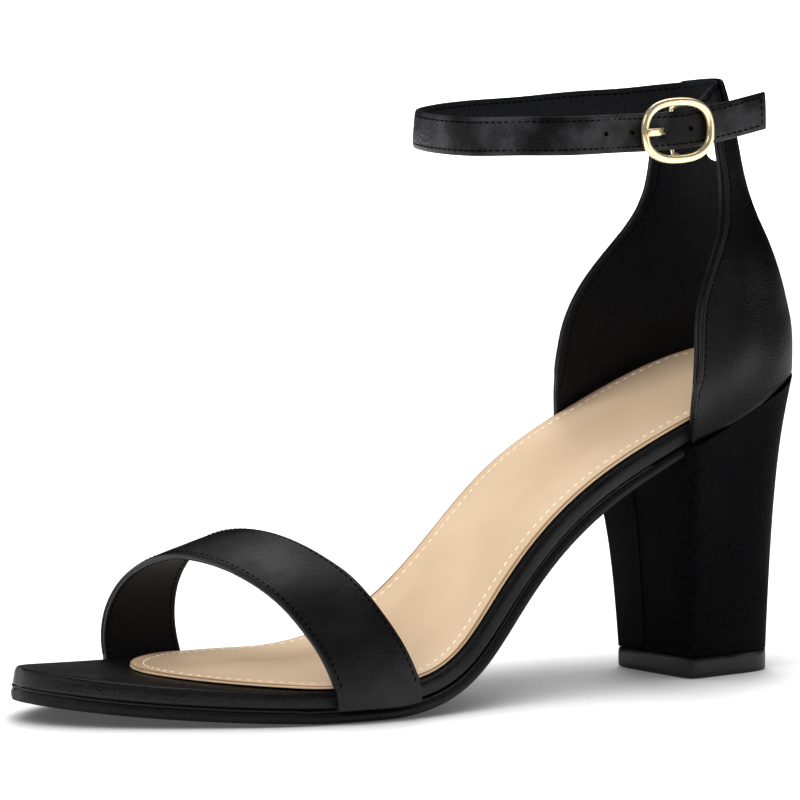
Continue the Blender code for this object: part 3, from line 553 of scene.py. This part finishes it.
def tip_material():
    """Moulded dark grey plastic of the heel's top piece."""
    material, shader = new_material("moulded tip", (0.010, 0.010, 0.011), 0.45, 0.0, 0.22)
    space = object_space(material)
    grain = noise(material, space, 700.0, 3.0)
    shade = ranged(material, grain, 0.0, 1.0, 0.3, 0.7)
    tinted(material, shader, shade, (0.008, 0.008, 0.0088), (0.014, 0.014, 0.015))
    links = material.node_tree.links
    links.new(ranged(material, grain, 0.36, 0.5, 0.3, 0.7), shader.inputs["Roughness"])
    relief(material, shader, ((grain, 0.25, 0.00006),))
    return material


def gold_material():
    """Polished pale gold plate."""
    material, shader = new_material("polished pale gold", (0.92, 0.74, 0.45), 0.22, 0.8, 0.5)
    space = object_space(material)
    soft = noise(material, space, 160.0, 2.0)
    polish = noise(material, space, 420.0, 2.0)
    links = material.node_tree.links
    links.new(ranged(material, polish, 0.18, 0.25, 0.3, 0.7), shader.inputs["Roughness"])
    shade = ranged(material, soft, 0.0, 1.0, 0.3, 0.7)
    tinted(material, shader, shade, (0.92, 0.74, 0.45), (0.98, 0.84, 0.57))
    relief(material, shader, ((soft, 0.08, 0.00005),))
    return material


def thread_material(name, colour, roughness, specular):
    """Twisted sewing thread."""
    material, shader = new_material(name, colour, roughness, 0.0, specular)
    twist = noise(material, object_space(material, (1.0, 1.0, 1.0), (0.5, 0.5, 0.0)), 2600.0, 1.0)
    light = tuple(min(channel * 1.2, 1.0) for channel in colour)
    tinted(material, shader, ranged(material, twist, 0.0, 1.0, 0.3, 0.7), colour, light)
    relief(material, shader, ((twist, 0.5, 0.00006),))
    return material


def add_camera():
    """Camera at the photograph's angle."""
    bpy.ops.object.camera_add(location=CAMERA_PLACE)
    camera = bpy.context.object
    camera.name = "camera"
    aim = Vector(CAMERA_AIM) - Vector(CAMERA_PLACE)
    camera.rotation_euler = aim.to_track_quat("-Z", "Y").to_euler()
    camera.data.lens = CAMERA_LENS
    camera.data.sensor_width = 36.0
    camera.data.clip_start = 0.05
    camera.data.clip_end = 50.0
    bpy.context.scene.camera = camera


def add_floor():
    """White paper floor; close to the shoe its colour is darkened by ambient occlusion, a painted contact
    shadow.
    """
    clear_selection()
    bpy.ops.mesh.primitive_plane_add(size=1.0, location=(0.0, 0.0, 0.0))
    floor = bpy.context.object
    floor.name = "floor"
    floor.scale = (16.0, 16.0, 1.0)
    bpy.ops.object.transform_apply(location=True, rotation=True, scale=True)
    material, shader = new_material("white paper with painted contact shade", (0.90, 0.90, 0.90), 0.8, 0.0, 0.1)
    links = material.node_tree.links
    # Painted shade: ambient occlusion darkens the paper's colour near the shoe.
    near = add_node(material, "ShaderNodeAmbientOcclusion", Distance=0.06, samples=8)
    painted_contact_shade = add_node(material, "ShaderNodeMath", operation="POWER")
    painted_contact_shade.inputs[1].default_value = 1.2
    links.new(near.outputs["AO"], painted_contact_shade.inputs[0])
    links.new(ranged(material, painted_contact_shade.outputs[0], 0.02, 0.90), shader.inputs["Base Color"])
    shader.inputs["Emission Color"].default_value = (1.0, 1.0, 1.0, 1.0)
    shader.inputs["Emission Strength"].default_value = 0.08
    floor.data.materials.append(material)


def add_light(name, place, aim, size, power):
    """Soft rectangular light."""
    bpy.ops.object.light_add(type="AREA", location=place)
    light = bpy.context.object
    light.name = name
    light.data.shape = "RECTANGLE"
    light.data.size = size[0]
    light.data.size_y = size[1]
    light.data.energy = power
    light.rotation_euler = (Vector(aim) - Vector(place)).to_track_quat("-Z", "Y").to_euler()


def add_sun(name, place, angle, strength):
    """Broad light from a far place, shining at the shoe and mirrored by nothing."""
    bpy.ops.object.light_add(type="SUN", location=place)
    sun = bpy.context.object
    sun.name = name
    sun.data.angle = math.radians(angle)
    sun.data.energy = strength
    sun.visible_glossy = False
    sun.rotation_euler = Vector(place).to_track_quat("Z", "Y").to_euler()


def add_backdrop():
    """Glowing white card behind the shoe."""
    clear_selection()
    bpy.ops.mesh.primitive_plane_add(size=1.0, location=(-3.4, 1.95, 1.2))
    card = bpy.context.object
    card.name = "back_card"
    card.scale = (6.0, 3.0, 1.0)
    card.rotation_euler = (math.radians(90.0), 0.0, math.radians(59.8))
    bpy.ops.object.transform_apply(location=True, rotation=True, scale=True)
    material, shader = new_material("white card", (0.9, 0.9, 0.9), 0.9, 0.0, 0.0)
    shader.inputs["Emission Color"].default_value = (1.0, 1.0, 1.0, 1.0)
    shader.inputs["Emission Strength"].default_value = 1.1
    card.data.materials.append(material)
    card.visible_glossy = False
    card.visible_shadow = False


def add_world(strength):
    """Even surroundings."""
    world = bpy.data.worlds.new("studio")
    world.use_nodes = True
    background = world.node_tree.nodes["Background"]
    background.inputs["Color"].default_value = (1.0, 1.0, 1.0, 1.0)
    background.inputs["Strength"].default_value = strength
    bpy.context.scene.world = world
    world.cycles_visibility.glossy = False


def set_creases(piece, sharp, crease, rim):
    """Crease the edges that turn more than an angle; level edges get the rim's crease."""
    work = bmesh.new()
    work.from_mesh(piece.data)
    layer = work.edges.layers.float.get("crease_edge") or work.edges.layers.float.new("crease_edge")
    for edge in work.edges:
        if len(edge.link_faces) == 2 and edge.calc_face_angle(0.0) > math.radians(sharp):
            run = edge.verts[1].co - edge.verts[0].co
            level = abs(run.z) < 0.5 * run.length
            edge[layer] = rim if level else crease
    work.to_mesh(piece.data)
    work.free()


def subdivided(piece, levels):
    """Apply a subdivision of a number of levels."""
    smooth = piece.modifiers.new("smooth", "SUBSURF")
    smooth.levels = levels
    smooth.render_levels = levels
    work_on(piece)
    bpy.ops.object.modifier_apply(modifier=smooth.name)


def smooth_copy(node, name):
    """Copy of a CAD piece with its faces joined, in the same place."""
    piece = bpy.data.objects.new(name, NODES[node].data.copy())
    bpy.context.scene.collection.objects.link(piece)
    piece.data.materials.clear()
    work_on(piece)
    bpy.ops.object.mode_set(mode="EDIT")
    bpy.ops.mesh.select_all(action="SELECT")
    bpy.ops.mesh.remove_doubles(threshold=0.00001)
    bpy.ops.mesh.tris_convert_to_quads(face_threshold=math.radians(30), shape_threshold=math.radians(60))
    bpy.ops.object.mode_set(mode="OBJECT")
    return piece


def finish_piece(piece, slot, *nodes):
    """Let a piece ride with the shoe, and stand for its CAD nodes."""
    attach(piece, "root")
    if nodes:
        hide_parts(*nodes)


def dressed(node, name, material, slot, sharp, crease, levels, rim=None):
    """Smooth copy of a CAD piece that stands for it."""
    piece = smooth_copy(node, name)
    set_creases(piece, sharp, crease, rim or crease)
    subdivided(piece, levels)
    piece.data.shade_smooth()
    if rim:
        piece.data.set_sharp_from_angle(angle=math.radians(40.0))
    piece.data.materials.append(material)
    finish_piece(piece, slot, node)
    return piece


def lined(piece, lining, aim, limit):
    """Give the lining's material to the faces that look towards aim(centre), by more than a limit."""
    piece.data.materials.append(lining)
    for face in piece.data.polygons:
        if face.normal.dot((aim(face.center) - face.center).normalized()) > limit:
            face.material_index = 1


def even_steps(line, pitch):
    """Places at an even pitch on a line of points and normals: centre, direction, normal."""
    steps = []
    travelled = 0.0
    wanted = pitch / 2
    for (first, normal), (second, _) in zip(line, line[1:]):
        length = (second - first).length
        if length < 1e-7:
            continue
        direction = (second - first) / length
        while wanted <= travelled + length:
            steps.append((first + direction * (wanted - travelled), direction, normal))
            wanted += pitch
        travelled += length
    return steps


def model_stitch(size):
    """One stitch, modelled at the origin along X: a rounded bar whose ends dip into the cloth."""
    clear_selection()
    bpy.ops.mesh.primitive_cylinder_add(
        vertices=6, radius=0.5, depth=1.0, end_fill_type="NGON", location=(0, 0, 0),
    )
    stitch = bpy.context.object
    bpy.ops.object.mode_set(mode="EDIT")
    bpy.ops.mesh.select_all(action="SELECT")
    bpy.ops.transform.rotate(value=math.radians(90), orient_axis="Y", center_override=(0, 0, 0))
    bpy.ops.mesh.bisect(plane_co=(0.22, 0, 0), plane_no=(1, 0, 0))
    bpy.ops.mesh.select_all(action="SELECT")
    bpy.ops.mesh.bisect(plane_co=(-0.22, 0, 0), plane_no=(1, 0, 0))
    bpy.ops.object.mode_set(mode="OBJECT")
    length, width, height = size[:3]
    for vertex in stitch.data.vertices:
        end = abs(vertex.co.x) > 0.4
        narrow = 0.55 if end else 1.0
        vertex.co.y *= width * narrow
        vertex.co.z = vertex.co.z * height * narrow - (0.22 * height if end else 0.0)
        vertex.co.x *= length
    return stitch


def sew(name, steps, size, material, slot):
    """Row of stitches, each a copy of one modelled stitch, joined as one piece."""
    pattern = model_stitch(size)
    shape = [vertex.co.copy() for vertex in pattern.data.vertices]
    faces = [tuple(face.vertices) for face in pattern.data.polygons]
    bpy.data.objects.remove(pattern, do_unlink=True)
    vertices = []
    polygons = []
    for centre, direction, normal in steps:
        across = normal.cross(direction).normalized()
        turn = Matrix((direction, across, direction.cross(across))).transposed()
        start = len(vertices)
        vertices += [centre + turn @ co for co in shape]
        polygons += [tuple(start + index for index in face) for face in faces]
    mesh = bpy.data.meshes.new(name)
    mesh.from_pydata(vertices, [], polygons)
    row = bpy.data.objects.new(name, mesh)
    bpy.context.scene.collection.objects.link(row)
    mesh.shade_smooth()
    mesh.materials.append(material)
    finish_piece(row, slot)


def cord_piece(name, line, radius, material, slot):
    """Fine rolled edge or welt along a line of points and normals."""
    vertices = []
    last = len(line) - 1
    for index, (point, normal) in enumerate(line):
        direction = (line[min(index + 1, last)][0] - line[max(index - 1, 0)][0]).normalized()
        across = normal.cross(direction).normalized()
        upward = direction.cross(across)
        for side in range(CORD_SIDES):
            angle = 2 * math.pi * side / CORD_SIDES
            vertices.append(point + across * radius * math.cos(angle) + upward * radius * math.sin(angle))
    polygons = []
    for ring in range(0, last * CORD_SIDES, CORD_SIDES):
        following = ring + CORD_SIDES
        for side in range(CORD_SIDES):
            beside = (side + 1) % CORD_SIDES
            polygons.append((ring + side, ring + beside, following + beside, following + side))
    polygons.append(tuple(reversed(range(CORD_SIDES))))
    polygons.append(tuple(last * CORD_SIDES + side for side in range(CORD_SIDES)))
    mesh = bpy.data.meshes.new(name)
    mesh.from_pydata(vertices, [], polygons)
    piece = bpy.data.objects.new(name, mesh)
    bpy.context.scene.collection.objects.link(piece)
    work_on(piece)
    bpy.ops.object.mode_set(mode="EDIT")
    bpy.ops.mesh.select_all(action="SELECT")
    bpy.ops.mesh.normals_make_consistent(inside=False)
    bpy.ops.object.mode_set(mode="OBJECT")
    mesh.shade_smooth()
    mesh.materials.append(material)
    finish_piece(piece, slot)


def on_surface(piece, point):
    """Nearest place on a piece's surface, and the way that the surface faces there."""
    _, near, normal, _ = piece.closest_point_on_mesh(point)
    return near, normal


bpy.context.scene.view_settings.view_transform = "Standard"
add_camera()
add_floor()
add_backdrop()
add_world(0.34)
add_sun("back light", (-0.68, 0.40, 0.56), 34.0, 2.1)
add_sun("front light", (0.26, -0.70, 0.95), 70.0, 2.4)
add_light("top light", (-0.26, 0.26, 1.10), (0.02, -0.12, 0.05), (1.1, 0.7), 4.6)
add_light("front top light", (0.25, -1.45, 1.20), (0.0, -0.04, 0.08), (0.9, 0.9), 6.0)
add_light("front left light", (-0.80, -1.30, 0.35), (0.0, -0.08, 0.10), (0.55, 0.7), 3.6)
add_light("right back light", (1.12, 0.95, 0.40), (0.02, -0.04, 0.09), (0.95, 0.75), 3.4)

# The toe band's and the strap's satin take spots of painted sheen in their base colour.
satin = satin_material(
    "black satin with painted sheen", (0.0014, 0.0014, 0.0015), 6.0, 0.36, 0.32, 0.0006, 50.0, (70.0, 0.32, 0.46),
)
counter_satin = satin_material("counter satin", (0.0012, 0.0012, 0.0013), 5.0, 0.36, 0.09, 0.0005, 50.0)
heel_satin = satin_material("heel satin", (0.0005, 0.0005, 0.0006), 9.0, 0.52, 0.012, 0.0003, 40.0)
strap_satin = satin_material(
    "strap satin with painted sheen", (0.0012, 0.0012, 0.0013), 26.0, 0.27, 0.17, 0.0004, 60.0, (95.0, 0.24, 0.42),
)
wrap_satin = satin_material("wrapped sole edge", (0.0014, 0.0014, 0.0016), 4.5, 0.42, 0.27, 0.0005, 70.0)
lining = lining_material()
sock = sock_material()
rubber = rubber_material()
tip = tip_material()
gold = gold_material()
black_thread = thread_material("black thread", (0.0006, 0.0006, 0.0006), 0.9, 0.02)
cut_edge = thread_material("cut leather edge", (0.26, 0.15, 0.075), 0.6, 0.15)
cream_thread = thread_material("cream thread", (0.84, 0.72, 0.56), 0.7, 0.15)

dressed("footbed", "footbed_board", wrap_satin, "sole_wrap", 50.0, 0.75, 2)
dressed("outsole", "rubber_outsole", rubber, "outsole_rubber", 35.0, 0.55, 2)
insole = dressed("insole", "tan_insole", sock, "sock_leather", 35.0, 0.6, 2)
dressed("heel_tip", "heel_top_piece", tip, "tip_plastic", 30.0, 0.97, 2, 0.985)
heel = dressed("heel_block", "block_heel", heel_satin, "satin", 25.0, 0.92, 2, 1.0)
band = dressed("vamp_strap", "toe_band", satin, "satin", 60.0, 0.45, 3)
counter = dressed("heel_counter", "heel_counter_shell", counter_satin, "satin", 60.0, 0.7, 2)
strap = dressed("ankle_strap", "ankle_strap_satin", strap_satin, "satin", 60.0, 0.6, 2)
dressed("buckle_frame", "gold_buckle", gold, "pale_gold", 80.0, 0.2, 2)
dressed("buckle_prong", "gold_prong", gold, "pale_gold", 80.0, 0.2, 2)


def outer_station(place, out, up):
    """Point off the strap's middle line, and the direction that faces away from the strap there."""
    middle, outward, upward = strap_station(place)
    return middle + outward * out + upward * up, outward * math.copysign(1.0, out)


def strap_line(start, end, out, up):
    """Line along the strap, between two distances along it."""
    count = int((end - start) / 0.0012)
    return [outer_station(start + (end - start) * i / count, out, up) for i in range(count + 1)]


def sew_strap():
    """Rows of stitches along both edges of the strap, outside and inside, and across the tail's end."""
    end = STRAP_PLACES[-1]
    face = STRAP_THICKNESS / 2
    row = STRAP_WIDTH / 2 - STITCH_INSET
    steps = []
    for out in (face, -face):
        for up in (row, -row):
            steps += even_steps(strap_line(0.006, end - STITCH_INSET, out, up), BLACK_STITCH[3])
    for out in (face, -face):
        ends = [outer_station(end - STITCH_INSET, out, up) for up in (-row, row)]
        steps += even_steps(ends, BLACK_STITCH[3])
    sew("strap_stitches", steps, BLACK_STITCH, black_thread, "satin")


def vamp_arch(depth):
    """Points across the toe band's middle surface at a depth from its front edge."""
    turns = [math.pi * (0.985 - 0.97 * i / ARCH_STEPS) for i in range(ARCH_STEPS + 1)]
    return [vamp_point(depth, turn) for turn in turns]


def vamp_line(depth, outside):
    """Line across the toe band at a depth from its front edge, on its outer or inner face."""
    arch = vamp_arch(depth)
    middle = sum(point.x for point in arch) / len(arch)
    line = []
    for point in arch:
        away = (point - Vector((middle, point.y, FOOTBED_THICKNESS + OUTSOLE_THICKNESS))).normalized()
        line.append(on_surface(band, point + away * (0.0012 if outside else -0.0012)))
    return line


def sew_toe_band():
    """Rows of stitches along both edges of the toe band, outside and inside."""
    steps = []
    for depth in (VAMP_STITCH_SHARE, 1 - VAMP_STITCH_SHARE):
        for outside in (True, False):
            steps += even_steps(vamp_line(depth, outside), BLACK_STITCH[3])
    sew("toe_band_stitches", steps, BLACK_STITCH, black_thread, "satin")


def counter_half_point(side, forward_gap, up):
    """Point beside the counter's front edge: side 1 outer or -1 inner, a distance behind the edge."""
    front = counter_front_at(up)
    depth = front + counter_back_at(up)
    turn = math.asin((forward_gap / depth) ** (1 / COUNTER_SQUARENESS)) if forward_gap > 0 else 0.0
    half = counter_half_at(up) * math.cos(turn) ** COUNTER_SQUARENESS
    return heel_frame(side * half, front - forward_gap, up)


def counter_line(side, gap, low, high, outside):
    """Line down the counter beside its front edge, on its outer or inner face."""
    line = []
    for i in range(EDGE_STEPS + 1):
        up = low + (high - low) * i / EDGE_STEPS
        point = counter_half_point(side, gap, up)
        away = heel_frame(side * 0.0016, 0.0, 0.0)
        line.append(on_surface(counter, point + away * (1 if outside else -1.8)))
    return line


def sew_counter():
    """Rows of stitches down both front edges of the heel counter, outside and inside."""
    steps = []
    for side, low in ((1, 0.070), (-1, 0.074)):
        for outside in (True, False):
            line = counter_line(side, COUNTER_STITCH_GAP, low, WING_TOP - 0.0015, outside)
            steps += even_steps(line, BLACK_STITCH[3])
    sew("counter_stitches", steps, BLACK_STITCH, black_thread, "satin")


def insole_outline(inset, count):
    """Closed line on the insole, a distance inside its edge."""
    bottom = FOOTBED_THICKNESS + CLEARANCE + INSOLE_THICKNESS
    last = 1.0 - (INSOLE_TOE_MARGIN + inset) / SOLE_LENGTH
    narrowing = last - INSOLE_NARROWING / SOLE_LENGTH
    first = (INSOLE_INSET + inset) / SOLE_LENGTH
    sides = []
    for side in (1, -1):
        points = []
        for i in range(count + 1):
            share = (first + last) / 2 - (last - first) / 2 * math.cos(math.pi * i / count)
            start = min((share - first) * SOLE_LENGTH / 0.030, 1.0)
            half = half_width(share) - INSOLE_INSET - inset * min(1.0, 0.4 + start)
            if share > narrowing:
                gone = (share - narrowing) / (last - narrowing)
                half *= math.sqrt(max(1 - gone ** INSOLE_TOE_POWER, 0.0))
            half = max(half, 0.0) * min(1.0, math.sqrt(max(start, 0.0)) * 1.6)
            points.append(sole_point(share, side * half, bottom))
        sides.append(points)
    return sides[0] + sides[1][::-1][1:]


def sew_insole():
    """Cream stitches round the insole, set into its leather."""
    line = []
    for point in insole_outline(SOCK_STITCH_INSET, 160):
        near, normal = on_surface(insole, point + Vector((0, 0, 0.001)))
        line.append((near - normal * 0.00006, normal))
    steps = even_steps(line, CREAM_STITCH[3])
    sew("insole_stitches", steps, CREAM_STITCH, cream_thread, "sock_leather")


def insole_edge():
    """Darker cut edge all round the insole, evened along its line."""
    line = []
    for point in insole_outline(0.0002, 160):
        near, normal = on_surface(insole, point + Vector((0, 0, -0.0002)))
        line.append((near - normal * 0.00008, Vector((0, 0, 1))))
    for _ in range(6):
        evened = []
        for before, (here, up), after in zip(line, line[1:], line[2:]):
            evened.append(((before[0] + 2 * here + after[0]) / 4, up))
        line = [line[0]] + evened + [line[-1]]
    cord_piece("insole_edge", line, 0.00026, cut_edge, "sock_leather")


def welt_round_sole():
    """Fine bead in the groove between the footbed and the outsole."""
    breast = (SEAT_SETBACK + HEEL_TOP_FRONT + 0.007) / SOLE_LENGTH
    line = []
    for side in (1, -1):
        points = []
        for i in range(111):
            share = (breast + 0.9990) / 2 - (0.9990 - breast) / 2 * math.cos(math.pi * i / 110)
            half = half_width(share) - 0.00055
            point = sole_point(share, side * half, -CLEARANCE / 2)
            points.append((point, Vector((side, 0, 0))))
        line += points if side > 0 else points[::-1][1:]
    cord_piece("sole_welt", line, WELT_RADIUS, wrap_satin, "sole_wrap")


def edge_folds():
    """Folded edges: fine rolled lines along the front edges of the counter and the toe band."""
    for side, low, name in ((1, 0.0665, "outer"), (-1, 0.0725, "inner")):
        for inward, label in ((0.35, "a"), (0.78, "b")):
            line = []
            for i in range(EDGE_STEPS + 1):
                up = low + (WING_TOP - 0.0008 - low) * i / EDGE_STEPS
                edge = counter_half_point(side, 0.0, up)
                point = edge - heel_frame(side * COUNTER_WALL * inward, 0.0, 0.0)
                line.append(on_surface(counter, point + heel_frame(0.0, 0.004, 0.0)))
            cord_piece(f"counter_fold_{name}_{label}", line, 0.00038, satin, "satin")
    for gap, label in ((0.55, "front"), (1.30, "rear")):
        line = counter_line(1, gap * MM, 0.0675, WING_TOP - 0.0012, True)
        cord_piece(f"counter_ridge_{label}", line, 0.00042, satin, "satin")
    for depth, label in ((0.0, "front"), (1.0, "rear")):
        line = []
        for point in vamp_arch(depth):
            centre = Vector((-0.004, point.y, 0.008))
            inside = point + (centre - point).normalized() * VAMP_WALL * 0.42
            ahead = Vector((0, -0.003 if depth == 0.0 else 0.003, 0))
            line.append(on_surface(band, inside + ahead))
        cord_piece(f"toe_band_fold_{label}", line, 0.00030, grey_edge_line, "satin")


def heel_seam():
    """Seam down the heel's breast, where the satin wrap meets."""
    line = []
    for i in range(41):
        share = i / 40
        up = TIP_THICKNESS + 0.0008 + share * 0.0545
        side = -TIP_WIDTH / 2 * (1 + 0.35 * share) * 0.22
        line.append(on_surface(heel, heel_frame(side, 0.040, up)))
    cord_piece("heel_seam", line, 0.00028, heel_satin, "satin")


def punch_holes():
    """Punched holes of the strap: a pressed rim round a black disc, painted shade in place of the open hole.
    """
    places = []
    count = 900
    for target in STRAP_HOLES:
        places.append(min(
            (STRAP_PLACES[-1] * (0.55 + 0.40 * i / count) for i in range(count + 1)),
            key=lambda place: abs(strap_forward_at(place) - target),
        ))
    for number, place in enumerate(places):
        outside, _ = outer_station(place, STRAP_THICKNESS, 0.0)
        middle, normal = on_surface(strap, outside)
        turn = normal.to_track_quat("Z", "Y")
        clear_selection()
        bpy.ops.mesh.primitive_torus_add(
            major_segments=20, minor_segments=8, major_radius=0.00078, minor_radius=0.00022,
            location=(0, 0, 0),
        )
        rim = bpy.context.object
        # The strap is not cut through: the black disc paints the shade of the hole's inside.
        bpy.ops.mesh.primitive_cylinder_add(vertices=20, radius=0.00074, depth=0.0003, location=(0, 0, 0))
        hole = bpy.context.object
        for piece, name, material in ((rim, "hole_rim", strap_satin), (hole, "hole_painted_shade", black_thread)):
            piece.name = f"{name}_{number}"
            piece.data.transform(Matrix.Translation(middle) @ turn.to_matrix().to_4x4())
            piece.data.shade_smooth()
            piece.data.materials.append(material)
            finish_piece(piece, "satin")


def shape_waves(piece, centre, reach, push):
    """Push one soft trough or ridge into a thin piece."""
    middle = Vector(centre)
    for vertex in piece.data.vertices:
        gap = vertex.co - middle
        away = sum((gap[k] / reach[k]) ** 2 for k in range(3))
        if away < 6.0:
            vertex.co += Vector(push) * math.exp(-away)


def strap_waves(piece):
    """Push the soft bends into the strap."""
    for place, reach, depth in STRAP_WAVES:
        middle, outward, _ = strap_station(place)
        shape_waves(piece, middle, (reach, reach, 0.012), outward * depth)


WAVES = (
    # piece  centre                     reach                     push
    (band, (0.0230, -0.1290, 0.0335), (0.010, 0.020, 0.007), (0.0, 0.0, 0.0006)),
    (band, (0.0300, -0.1290, 0.0245), (0.008, 0.020, 0.007), (-0.0005, 0.0, -0.0003)),
    (counter, (0.0275, -0.0090, 0.0850), (0.008, 0.007, 0.013), (0.0007, 0.0002, 0.0)),
    (counter, (0.0240, 0.0040, 0.0960), (0.008, 0.006, 0.018), (-0.0004, -0.0004, 0.0)),
    (counter, (0.0200, -0.0040, 0.1130), (0.007, 0.006, 0.010), (0.0003, 0.0, 0.0)),
)
for piece, centre, reach, push in WAVES:
    shape_waves(piece, centre, reach, push)
strap_waves(strap)

# Colour of the fine cords along the toe band's front and rear edges: a dark grey, paler than the satin.
grey_edge_line = thread_material("grey edge line", (0.030, 0.030, 0.032), 0.45, 0.3)
lined(band, lining, lambda centre: Vector((-0.004, centre.y, 0.006)), 0.45)
lined(counter, lining, lambda centre: heel_frame(0.0, 0.014, centre.z), 0.35)
lined(strap, lining, lambda centre: heel_frame(0.0, 0.045, centre.z), 0.35)
sew_strap()
sew_toe_band()
sew_counter()
sew_insole()
insole_edge()
welt_round_sole()
edge_folds()
heel_seam()
punch_holes()

for node in NODES.values():
    node.select_set(False)
